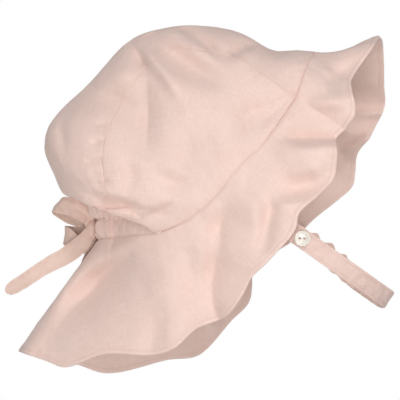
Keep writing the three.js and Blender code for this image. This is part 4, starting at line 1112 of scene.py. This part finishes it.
# %% Strap with its ruffled stretch
def chin_strap():
    rows = STRAP_ROWS + [[0, 0, 1.0, 0]] * len(SEWN_ALONGS)
    middles = [strap_point(row[0], row[1]) for row in STRAP_ROWS]
    middles += [sewn_point(1, along, STRAP_THICK) for along in SEWN_ALONGS[::-1]]
    count = 900
    at = np.linspace(0, 1, count)
    middle = curve_through(middles, at)
    ahead = unit(curve_through(middles, at + 0.0003) - curve_through(middles, at - 0.0003))
    place = {"at": np.linspace(0, 1, len(rows))}
    place["wide"] = np.array([row[2] for row in rows], float)
    place["ruffle"] = np.array([row[3] for row in rows], float)
    normal = unit(np.cross(ahead, STRAP_ACROSS))
    way = np.broadcast_to(STRAP_ACROSS, normal.shape)
    ruffle = np.clip(smooth(place, "ruffle", at), 0, 1)[:, None]
    half = smooth(place, "wide", at)[:, None] * TAPE_WIDTH / 2
    shares = TAPE_SHARES[None, :]
    along = np.concatenate([[0], np.cumsum(np.linalg.norm(np.diff(middle, axis=0), axis=1))])[:, None]
    turn = at[:, None] * 160 + 0.9 * ripple(along, along * 0, 9, 81)
    wave = np.cos(turn + 0.5 * shares) * ruffle
    upper = half + RUFFLE_RISE * 0.6 * (wave + ruffle)
    lower = half + RUFFLE_RISE * 0.25 * wave
    across = np.where(shares > 0, shares * upper, shares * lower)
    lean = wave * RUFFLE_RISE * 0.42 * (np.abs(shares) * 1.3 - 0.35)
    lean += ruffle * 0.5 * ripple(along, across * 0.5, 1.7, 82)
    flat = 1 - ruffle
    lift = lean + flat * (0.8 * ripple(along, across * 1.2, 12, 83) + 0.4 * ripple(along, across * 1.2, 5, 84))
    to_edge = np.minimum(upper - across, lower + across)
    lift += 0.12 * flat * ripple(along, across * 0.1, 2.7, 85) * np.exp(-(to_edge / 2.4) ** 2)
    dent = 0.17 * np.exp(-((to_edge - TAPE_STITCH) / 0.38) ** 2)
    body = STRAP_THICK / 2 * (0.86 + 0.14 * ease(to_edge, 0, 1.2)) - dent
    spot = middle[:, None] + way[:, None] * across[..., None]
    outer = spot + normal[:, None] * (lift + body)[..., None]
    inner = spot + normal[:, None] * (lift - body)[..., None]
    uv = np.stack([along * np.ones_like(across), across], axis=-1) * MM
    seam = 0.7 * np.exp(-((to_edge - TAPE_STITCH) / 0.5) ** 2)
    return wall("chin_strap_tape", outer, inner, uv, seam), outer, inner


strap, strap_outer, strap_inner = chin_strap()
print("strap faces:", len(strap.data.polygons))


# %% Tab inside the near side
TAB_ROWS = [[0.5, -0.472, 1.0], [0.75, -0.488, 1.0], [0.93, -0.482, 1.0], [1.0, -0.478, 0.8]]


def strap_tab():
    share = TAB_REACH / STRAP_REACH
    middles = [sewn_point(-1, along, STRAP_THICK) for along in SEWN_ALONGS]
    middles += [strap_point(row[0] * share, row[1]) for row in TAB_ROWS]
    widths = np.array([1.0] * len(SEWN_ALONGS) + [row[2] for row in TAB_ROWS]) * TAPE_WIDTH
    ways = [STRAP_ACROSS] * len(middles)
    return tape("strap_tab_tape", *tape_frame(middles, ways, widths, 130), STRAP_THICK, 91, 0.1)


tab, tab_outer = strap_tab()
print("tab faces:", len(tab.data.polygons))

# %% [markdown]
# ## The button
# A small shell button is turned on a lathe: a flat back, a round rim and a dished face. Two holes are then
# drilled through it. A profile spun round an axis makes the same shape, and two small cylinders cut the holes.

# %% Turned button with two drilled holes
BUTTON_FACES = 64
HOLE_SPACING = 1.7
BUTTON_PLACE = strap_point(0.785, -0.51) + np.array([0.0, -0.75 - SEAM_GAP, 0.0])


def turned(profile, around):
    """Rings of points of a profile spun about Y."""
    turn = np.linspace(0, 2 * math.pi, around + 1)[:-1]
    radius = np.array([p[0] for p in profile])[:, None]
    height = np.array([p[1] for p in profile])[:, None] * np.ones_like(turn)
    return np.stack([radius * np.cos(turn), height, radius * np.sin(turn)], axis=-1)


def rounded(profile, count):
    """The same profile with its corners eased by a smooth curve."""
    points = np.array([[x, y, 0.0] for x, y in profile])
    return curve_through(points, np.linspace(0, 1, count))[:, :2]


def shell_button():
    r, t = BUTTON_ACROSS / 2, BUTTON_THICK
    profile = [[0.02, 0], [0.55 * r, 0], [0.9 * r, 0.2 * t], [r, 0.5 * t], [0.965 * r, 0.84 * t], [0.87 * r, t]]
    profile += [
        [0.76 * r, 0.93 * t], [0.64 * r, 0.72 * t], [0.5 * r, 0.6 * t], [0.25 * r, 0.56 * t], [0.02, 0.55 * t]]
    body = closed_round("button_shell", turned(rounded(profile, 64), BUTTON_FACES))
    for side in (-1, 1):
        hole = [[0.01, -1.0], [BUTTON_HOLE / 2, -1.0], [BUTTON_HOLE / 2, t + 1], [0.01, t + 1]]
        cutter = closed_round("hole", turned(hole, 24) + np.array([side * HOLE_SPACING, 0, 0]))
        cut = body.modifiers.new("hole", "BOOLEAN")
        cut.object = cutter
        cut.solver = "EXACT"
        bpy.context.view_layer.update()
        drilled = bpy.data.meshes.new_from_object(body.evaluated_get(bpy.context.evaluated_depsgraph_get()))
        body.modifiers.clear()
        body.data = drilled
        bpy.data.objects.remove(cutter)
    place = Matrix.Translation(Vector(BUTTON_PLACE * MM))
    body.data.transform(place @ Matrix.Rotation(0.1, 4, "Y") @ Matrix.Rotation(math.pi, 4, "Z"))
    return body


button = shell_button()
print("button faces:", len(button.data.polygons))

# %% [markdown]
# ## Stitches
# A topstitch is a row of short thread loops of one length. Rows like this are what Geometry Nodes are for: a
# line goes in, it is divided at the stitch length, one small round capsule is put at each point and turned
# along the line, and the result is made one plain mesh.

# %% Lines that the stitches follow
STITCH_LENGTH = 2.7
THREAD_THICK = 0.36


def line_at(outer, normals, away, end=False, proud=0.1):
    """Line on a cloth's grid at a distance from its first or last column, standing proud of the cloth."""
    line = []
    for points, normal, row in zip(outer, normals, lengths_from(outer, 1, end=end)):
        if row.max() < away * 2:
            continue
        order = np.argsort(row)
        raised = points + normal * proud
        line.append([np.interp(away, row[order], raised[order, k]) for k in range(3)])
    return np.array(line)


def ring_at(outer, normals):
    """Closed line of hem stitches round the brim."""
    line = line_at(outer, normals, HEM_STITCH, end=True)
    return np.concatenate([line, line[:1]])


crown_lines = [
    line_at(outer, normals, STITCH_SET, end=end)
    for outer, normals, end in (
        (band_outer, band_normals, False), (band_outer, band_normals, True), (near_outer, near_normals, True),
        (far_outer, far_normals, True), (near_outer, near_normals, False), (far_outer, far_normals, False))]
hem_line = ring_at(brim_outer, brim_normals)
hem_inner_line = ring_at(brim_inner, -brim_normals)
print("hem stitches:", round(np.linalg.norm(np.diff(hem_line, axis=0), axis=1).sum() / STITCH_LENGTH))


def tape_lines(outer, inner=None):
    """Two lines of stitches along a tape's outer layer, and two on its inner layer if it is given."""
    lines = []
    for grid, sign in ((outer, 1), (inner, -1)):
        if grid is None:
            continue
        ahead = np.gradient(grid, axis=0)
        across = np.gradient(grid, axis=1)
        normal = unit(np.cross(ahead, across)) * sign
        for end in (False, True):
            lines.append(line_at(grid, normal, TAPE_STITCH, end, 0.08))
    return lines


# %% Node tree that sews a line
def stitch_tree():
    """Geometry Nodes tree: divides the lines, puts a capsule on each point and gives it the thread's material."""
    tree = bpy.data.node_groups.new("sew_along_lines", "GeometryNodeTree")
    face = tree.interface
    face.new_socket("Lines", in_out="INPUT", socket_type="NodeSocketGeometry")
    for name, value in (("Stitch length", STITCH_LENGTH), ("Thread thickness", THREAD_THICK), ("Filled share", 0.8)):
        face.new_socket(name, in_out="INPUT", socket_type="NodeSocketFloat").default_value = value
    face.new_socket("Thread", in_out="INPUT", socket_type="NodeSocketMaterial")
    face.new_socket("Stitches", in_out="OUTPUT", socket_type="NodeSocketGeometry")

    def add(kind, settings=None, **links):
        node = tree.nodes.new(kind)
        for key, value in (settings or {}).items():
            setattr(node, key, value)
        for key, value in links.items():
            socket = node.inputs[key.replace("_", " ")]
            if isinstance(value, bpy.types.NodeSocket):
                tree.links.new(value, socket)
            else:
                socket.default_value = value
        return node

    start = add("NodeGroupInput").outputs
    curves = add("GeometryNodeMeshToCurve", Mesh=start["Lines"])
    spaced = add(
        "GeometryNodeResampleCurve", {"mode": "LENGTH"}, Curve=curves.outputs[0], Length=start["Stitch length"])
    long = add("ShaderNodeMath", {"operation": "MULTIPLY"})
    tree.links.new(start["Stitch length"], long.inputs[0])
    tree.links.new(start["Filled share"], long.inputs[1])
    ball = add("GeometryNodeMeshIcoSphere", Radius=0.5, Subdivisions=2)
    size = add("ShaderNodeCombineXYZ", X=long.outputs[0], Y=start["Thread thickness"], Z=start["Thread thickness"])
    capsule = add("GeometryNodeTransform", Geometry=ball.outputs["Mesh"], Scale=size.outputs[0])
    way = add("GeometryNodeInputTangent")
    turn = add("FunctionNodeAlignRotationToVector", {"axis": "X"}, Vector=way.outputs[0])
    placed = add(
        "GeometryNodeInstanceOnPoints", Points=spaced.outputs[0], Instance=capsule.outputs[0],
        Rotation=turn.outputs[0])
    real = add("GeometryNodeRealizeInstances", Geometry=placed.outputs[0])
    smooth_faces = add("GeometryNodeSetShadeSmooth", Geometry=real.outputs[0])
    finished = add("GeometryNodeSetMaterial", Geometry=smooth_faces.outputs[0], Material=start["Thread"])
    end = tree.nodes.new("NodeGroupOutput")
    tree.links.new(finished.outputs[0], end.inputs[0])
    return tree


SEWING = stitch_tree()
print("sewing tree has", len(SEWING.nodes), "nodes")


# %% Sew some lines
def sewn(name, lines, thread, thickness=THREAD_THICK, pitch=STITCH_LENGTH):
    """Plain mesh of the stitches along lines given in millimetres."""
    lines = [line for line in lines if len(line) > 3]
    points = np.concatenate(lines)
    edges = []
    start = 0
    for line in lines:
        edges += [(start + k, start + k + 1) for k in range(len(line) - 1)]
        start += len(line)
    mesh = bpy.data.meshes.new(name)
    mesh.from_pydata((points * MM).tolist(), edges, [])
    thing = bpy.data.objects.new(name, mesh)
    bpy.context.collection.objects.link(thing)
    sew = thing.modifiers.new("sew", "NODES")
    sew.node_group = SEWING
    values = {"Stitch length": pitch * MM, "Thread thickness": thickness * MM, "Filled share": 0.8, "Thread": thread}
    for item in SEWING.interface.items_tree:
        if item.in_out == "INPUT" and item.name in values:
            sew[item.identifier] = values[item.name]
    bpy.context.view_layer.update()
    made = bpy.data.meshes.new_from_object(thing.evaluated_get(bpy.context.evaluated_depsgraph_get()))
    thing.modifiers.clear()
    thing.data = made
    return thing


print("one stitch is", STITCH_LENGTH, "mm from the next")

# %% [markdown]
# ## Materials
# The shader is written as arithmetic on sockets, so a line of Python reads as the pattern it makes. Linen is a
# plain weave of uneven threads: now and then a thicker length, a slub, runs along or across the cloth. The
# weave is a bump, the slubs are bump and colour, and a wider variation keeps the cloth from looking printed.
# Along seams and stitches the colour is darkened as painted shade.


# %% Sockets that can be reckoned with
class Wire:
    """A socket of a material's tree. Arithmetic with it adds Math nodes."""

    def __init__(self, bench, socket):
        self.bench, self.socket = bench, socket

    def _math(self, operation, first, second=None):
        values = {0: first} if second is None else {0: first, 1: second}
        return self.bench.add("ShaderNodeMath", {"operation": operation}, values)

    def __add__(self, other): return self._math("ADD", self, other)
    def __radd__(self, other): return self._math("ADD", other, self)
    def __sub__(self, other): return self._math("SUBTRACT", self, other)
    def __rsub__(self, other): return self._math("SUBTRACT", other, self)
    def __mul__(self, other): return self._math("MULTIPLY", self, other)
    def __rmul__(self, other): return self._math("MULTIPLY", other, self)
    def __truediv__(self, other): return self._math("DIVIDE", self, other)
    def __pow__(self, other): return self._math("POWER", self, other)
    def __abs__(self): return self._math("ABSOLUTE", self)
    def sine(self): return self._math("SINE", self)
    def top(self, other): return self._math("MAXIMUM", self, other)
    def low(self, other): return self._math("MINIMUM", self, other)


class Bench:
    """A material being made, with one method that adds any node."""

    def __init__(self, name):
        self.material = bpy.data.materials.new(name)
        self.material.use_nodes = True
        self.tree = self.material.node_tree
        self.tree.nodes.clear()

    def add(self, kind, settings=None, values=None, out=0):
        node = self.tree.nodes.new(kind)
        for key, value in (settings or {}).items():
            if key == "stops":
                while len(node.color_ramp.elements) < len(value):
                    node.color_ramp.elements.new(0.5)
                for element, (place, colour) in zip(node.color_ramp.elements, value):
                    element.position, element.color = place, colour
            else:
                setattr(node, key, value)
        for key, value in (values or {}).items():
            socket = node.inputs[key]
            if isinstance(value, Wire):
                self.tree.links.new(value.socket, socket)
            else:
                socket.default_value = value
        return Wire(self, node.outputs[out]) if node.outputs else None

    def mix(self, factor, first, second):
        node = self.tree.nodes.new("ShaderNodeMix")
        node.data_type = "RGBA"
        sockets = {s.identifier: s for s in node.inputs}
        for name, value in (("Factor_Float", factor), ("A_Color", first), ("B_Color", second)):
            if isinstance(value, Wire):
                self.tree.links.new(value.socket, sockets[name])
            else:
                sockets[name].default_value = value
        return Wire(self, {s.identifier: s for s in node.outputs}["Result_Color"])


def colour(red, green, blue):
    """Scene colour of a colour as seen on a screen, each from 0 to 255."""
    def one(value):
        value /= 255
        return value / 12.92 if value <= 0.04045 else ((value + 0.055) / 1.055) ** 2.4
    return (one(red), one(green), one(blue), 1.0)


print("screen 240 is", round(colour(240, 240, 240)[0], 3), "in the scene")


# %% Woven linen
THREAD_PITCH = 0.58


def woven(name, light, dark, roughness=0.88, slubs=1.0, pitch=THREAD_PITCH):
    """Plain-weave linen: bump of threads and slubs, colour that varies thread by thread and over the piece, and
    painted shade along seams and stitches.
    """
    bench = Bench(name)
    cloth = bench.add("ShaderNodeUVMap", {"uv_map": "cloth"})
    parts = bench.tree.nodes.new("ShaderNodeSeparateXYZ")
    bench.tree.links.new(cloth.socket, parts.inputs[0])
    u, v = Wire(bench, parts.outputs[0]), Wire(bench, parts.outputs[1])

    def noise(stretch_u, stretch_v, scale, detail=2.0):
        place = bench.add("ShaderNodeCombineXYZ", None, {0: u * stretch_u, 1: v * stretch_v, 2: 0.0})
        settings = {"noise_dimensions": "3D"}
        return bench.add("ShaderNodeTexNoise", settings, {"Vector": place, "Scale": scale, "Detail": detail})

    wobble = noise(1.0, 1.0, 260.0) * 0.0006
    ticks = math.pi / (pitch * MM)
    warp = ((u + wobble) * ticks).sine()
    weft = ((v + wobble) * ticks).sine()
    weave = abs(warp) * 0.5 + abs(weft) * 0.5 + (warp * weft) * 0.25
    long_slubs = noise(0.07, 1.0, 1500.0, 3.0)
    cross_slubs = noise(1.0, 0.07, 1500.0, 3.0)
    slub_lines = (long_slubs + cross_slubs) * 0.5
    mottle = noise(1.0, 1.0, 38.0, 4.0)
    near_seam = bench.add("ShaderNodeAttribute", {"attribute_name": "seam"}, None, out=2)
    shade = (slub_lines - 0.5) * (1.7 * slubs) + (mottle - 0.5) * 0.5 + 0.5
    tone = bench.mix(shade.low(1.0).top(0.0), dark, light)
    # Painted shade: the colour is pulled towards the dark tone along seams, hem stitches and tape stitches, as if
    # shade fell in their grooves.
    painted_seam_shade = bench.mix(near_seam * 0.35, tone, dark)
    height = weave * 0.10 + slub_lines * (0.4 * slubs)
    bump = bench.add("ShaderNodeBump", None, {"Strength": 0.55, "Distance": 0.0004, "Height": height})
    shader = bench.add("ShaderNodeBsdfPrincipled", None, {
        "Base Color": painted_seam_shade, "Roughness": roughness, "Normal": bump,
        "Sheen Weight": 0.28, "Sheen Roughness": 0.5, "Specular IOR Level": 0.22})
    bench.add("ShaderNodeOutputMaterial", None, {"Surface": shader})
    return bench.material


linen = woven("linen", colour(238, 214, 204), colour(220, 189, 179))
tie_cloth = woven("tie_linen", colour(236, 211, 198), colour(216, 185, 172), slubs=0.8)
strap_cloth = woven("strap_linen", colour(235, 209, 199), colour(218, 187, 177), slubs=0.8)
print("cloths:", linen.name, tie_cloth.name, strap_cloth.name)


# %% Thread and shell
def spun_thread():
    bench = Bench("thread")
    place = bench.add("ShaderNodeTexCoord", None, None, out=3)
    fibre = bench.add("ShaderNodeTexNoise", None, {"Vector": place, "Scale": 1500.0, "Detail": 2.0})
    tone = bench.mix(fibre, colour(216, 182, 170), colour(240, 216, 205))
    shader = bench.add("ShaderNodeBsdfPrincipled", None, {
        "Base Color": tone, "Roughness": 0.7, "Sheen Weight": 0.2, "Specular IOR Level": 0.3})
    bench.add("ShaderNodeOutputMaterial", None, {"Surface": shader})
    return bench.material


def pearl_shell():
    """Polished shell: faint growth bands and clouds of cream under a clear gloss."""
    bench = Bench("pearl_shell")
    place = bench.add("ShaderNodeTexCoord", None, None, out=3)
    clouds = bench.add("ShaderNodeTexNoise", None, {"Vector": place, "Scale": 210.0, "Detail": 3.0})
    bands = bench.add("ShaderNodeTexWave", {"wave_type": "BANDS"}, {
        "Vector": place, "Scale": 120.0, "Distortion": 5.0, "Detail": 2.0})
    tone = bench.mix(clouds * 0.6 + bands * 0.4, colour(222, 214, 203), colour(246, 241, 233))
    rough = clouds * 0.14 + 0.16
    shader = bench.add("ShaderNodeBsdfPrincipled", None, {
        "Base Color": tone, "Roughness": rough, "Coat Weight": 0.5, "Coat Roughness": 0.12, "IOR": 1.53})
    bench.add("ShaderNodeOutputMaterial", None, {"Surface": shader})
    return bench.material


thread = spun_thread()
shell = pearl_shell()
print("finishes:", thread.name, shell.name)

# %% Rows of stitches on the hat
crown_stitches = sewn("crown_stitches", crown_lines, thread)
hem_stitches = sewn("hem_stitches", [hem_line, hem_inner_line], thread)
TAPE_THREAD = 0.3
TAPE_STITCH_LENGTH = 2.2
strap_lines = tape_lines(strap_outer, strap_inner) + tape_lines(tab_outer)
bow_lines = sum([tape_lines(grid) for grid in (loop_near_outer, loop_far_outer, tail_near_outer, tail_far_outer)], [])
strap_stitches = sewn("strap_stitches", strap_lines, thread, TAPE_THREAD, TAPE_STITCH_LENGTH)
bow_stitches = sewn("bow_stitches", bow_lines, thread, TAPE_THREAD, TAPE_STITCH_LENGTH)
print("stitch faces:", [len(s.data.polygons) for s in (crown_stitches, hem_stitches, strap_stitches, bow_stitches)])

# %% Dress every piece
PIECES = [
    (crown_band, "crown_centre_band", "linen", linen),
    (panel_near, "crown_side_near", "linen", linen),
    (panel_far, "crown_side_far", "linen", linen),
    (brim, "brim", "linen", linen),
    (casing, "nape_casing", "linen", linen),
    (knot, "tie_knot", "linen_tape", tie_cloth),
    (loop_near, "bow_loop_near", "linen_tape", tie_cloth),
    (loop_far, "bow_loop_far", "linen_tape", tie_cloth),
    (tail_near, "tie_tail_near", "linen_tape", tie_cloth),
    (tail_far, "tie_tail_far", "linen_tape", tie_cloth),
    (strap, "chin_strap", "linen_tape", strap_cloth),
    (tab, "strap_tab", "linen_tape", strap_cloth),
    (button, "button", "shell", shell),
]
for piece, node, slot, finish in PIECES:
    piece.data.materials.clear()
    piece.data.materials.append(finish)
    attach(piece, "root")
    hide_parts(node)
STITCHES = [
    (crown_stitches, "linen"), (hem_stitches, "linen"), (strap_stitches, "linen_tape"), (bow_stitches, "linen_tape")]
for piece, slot in STITCHES:
    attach(piece, "root")
print("pieces dressed:", len(PIECES))

# %% [markdown]
# ## Sheets of cloth
# Panels, brim, casing and tape are cut flat before they are sewn. Nothing tells how the real cloth was cut, so
# the areas of the surfaces built above are measured, and each panel, the brim and the casing is printed with a
# given longest and widest extent, its area and the share of that flat size that its area fills.

# %% Flat sizes of the cut cloth
def sheet_area(outer):
    a = outer[:-1, :-1]
    b = outer[1:, :-1]
    c = outer[1:, 1:]
    d = outer[:-1, 1:]
    return 0.5 * float(np.linalg.norm(np.cross(c - a, d - b), axis=-1).sum()) * MM * MM


brim_ring = np.concatenate([brim_outer, brim_outer[:1]])
areas = {"band": sheet_area(band_outer), "near": sheet_area(near_outer), "far": sheet_area(far_outer),
         "brim": sheet_area(brim_ring), "casing": sheet_area(casing_outer)}
print("areas in square metres:", {name: round(area, 4) for name, area in areas.items()})

# %% [markdown]
# ## Light and surroundings
# Plain soft studio light: a large key from the camera's upper right, a weaker fill from the left, a low
# fill just above the floor for the crown's underside, white surroundings and a pale floor below.

# %% Surroundings
SKY_STRENGTH = 0.4
world = bpy.data.worlds.new("surroundings")
bpy.context.scene.world = world
world.use_nodes = True
world.node_tree.nodes.clear()


def white_light(strength):
    """Plain white surroundings of one strength."""
    node = world.node_tree.nodes.new("ShaderNodeBackground")
    node.inputs["Color"].default_value = (1.0, 1.0, 1.0, 1.0)
    node.inputs["Strength"].default_value = strength
    return node


sky = white_light(SKY_STRENGTH)
white = white_light(1.0)
path = world.node_tree.nodes.new("ShaderNodeLightPath")
choose = world.node_tree.nodes.new("ShaderNodeMixShader")
out = world.node_tree.nodes.new("ShaderNodeOutputWorld")
world.node_tree.links.new(path.outputs["Is Camera Ray"], choose.inputs[0])
world.node_tree.links.new(sky.outputs[0], choose.inputs[1])
world.node_tree.links.new(white.outputs[0], choose.inputs[2])
world.node_tree.links.new(choose.outputs[0], out.inputs[0])
bpy.context.scene.view_settings.view_transform = "Standard"
print("surroundings are white")


# %% Lamps
def lamp(name, place, size, power, tint=(1.0, 1.0, 1.0)):
    """Large soft lamp that looks at the hat."""
    data = bpy.data.lights.new(name, "AREA")
    data.size = size
    data.energy = power
    data.color = tint
    thing = bpy.data.objects.new(name, data)
    bpy.context.collection.objects.link(thing)
    thing.location = place
    thing.rotation_euler = (Vector(TARGET * MM) - Vector(place)).to_track_quat("-Z", "Y").to_euler()
    return thing


lamp("key", (0.8, -1.55, 1.05), 0.5, 14.6)
lamp("left fill", (-1.8, -1.1, 0.2), 0.9, 2.6)
lamp("low fill", (0.1, -0.95, -0.42), 0.4, 5.6)
print("lamps are set")


# %% Floor
FLOOR_HEIGHT = -0.45
FLOOR_RADIUS = 3.0


def floor_disc():
    turn = np.linspace(0, 2 * math.pi, 97)[:-1]
    points = np.stack([
        FLOOR_RADIUS * np.cos(turn), FLOOR_RADIUS * np.sin(turn), np.full_like(turn, FLOOR_HEIGHT)], axis=-1)
    mesh = bpy.data.meshes.new("floor")
    mesh.from_pydata(points.tolist(), [], [list(range(96))])
    thing = bpy.data.objects.new("floor", mesh)
    bpy.context.collection.objects.link(thing)
    bench = Bench("pale_floor")
    place = bench.add("ShaderNodeTexCoord", None, None, out=3)
    grain = bench.add("ShaderNodeTexNoise", None, {"Vector": place, "Scale": 6.0})
    tone = bench.mix(grain, colour(236, 235, 233), colour(244, 243, 241))
    shader = bench.add("ShaderNodeBsdfPrincipled", None, {"Base Color": tone, "Roughness": 0.9})
    bench.add("ShaderNodeOutputMaterial", None, {"Surface": shader})
    mesh.materials.append(bench.material)


floor_disc()
print("floor at", FLOOR_HEIGHT)

for piece, flat, area, rests in (
        (crown_band, (0.327, 0.185), areas["band"], ["crown_side_near", "crown_side_far"]),
        (panel_near, (0.195, 0.113), areas["near"], ["crown_centre_band"]),
        (panel_far, (0.194, 0.110), areas["far"], ["crown_centre_band"]),
        (brim, (0.33, 0.31), areas["brim"], ["crown_side_near", "crown_side_far"]),
        (casing, (0.185, 0.024), areas["casing"], ["brim", "crown_centre_band"])):
    print(piece.name, flat, round(area, 4), "share", round(area / (flat[0] * flat[1]), 3))
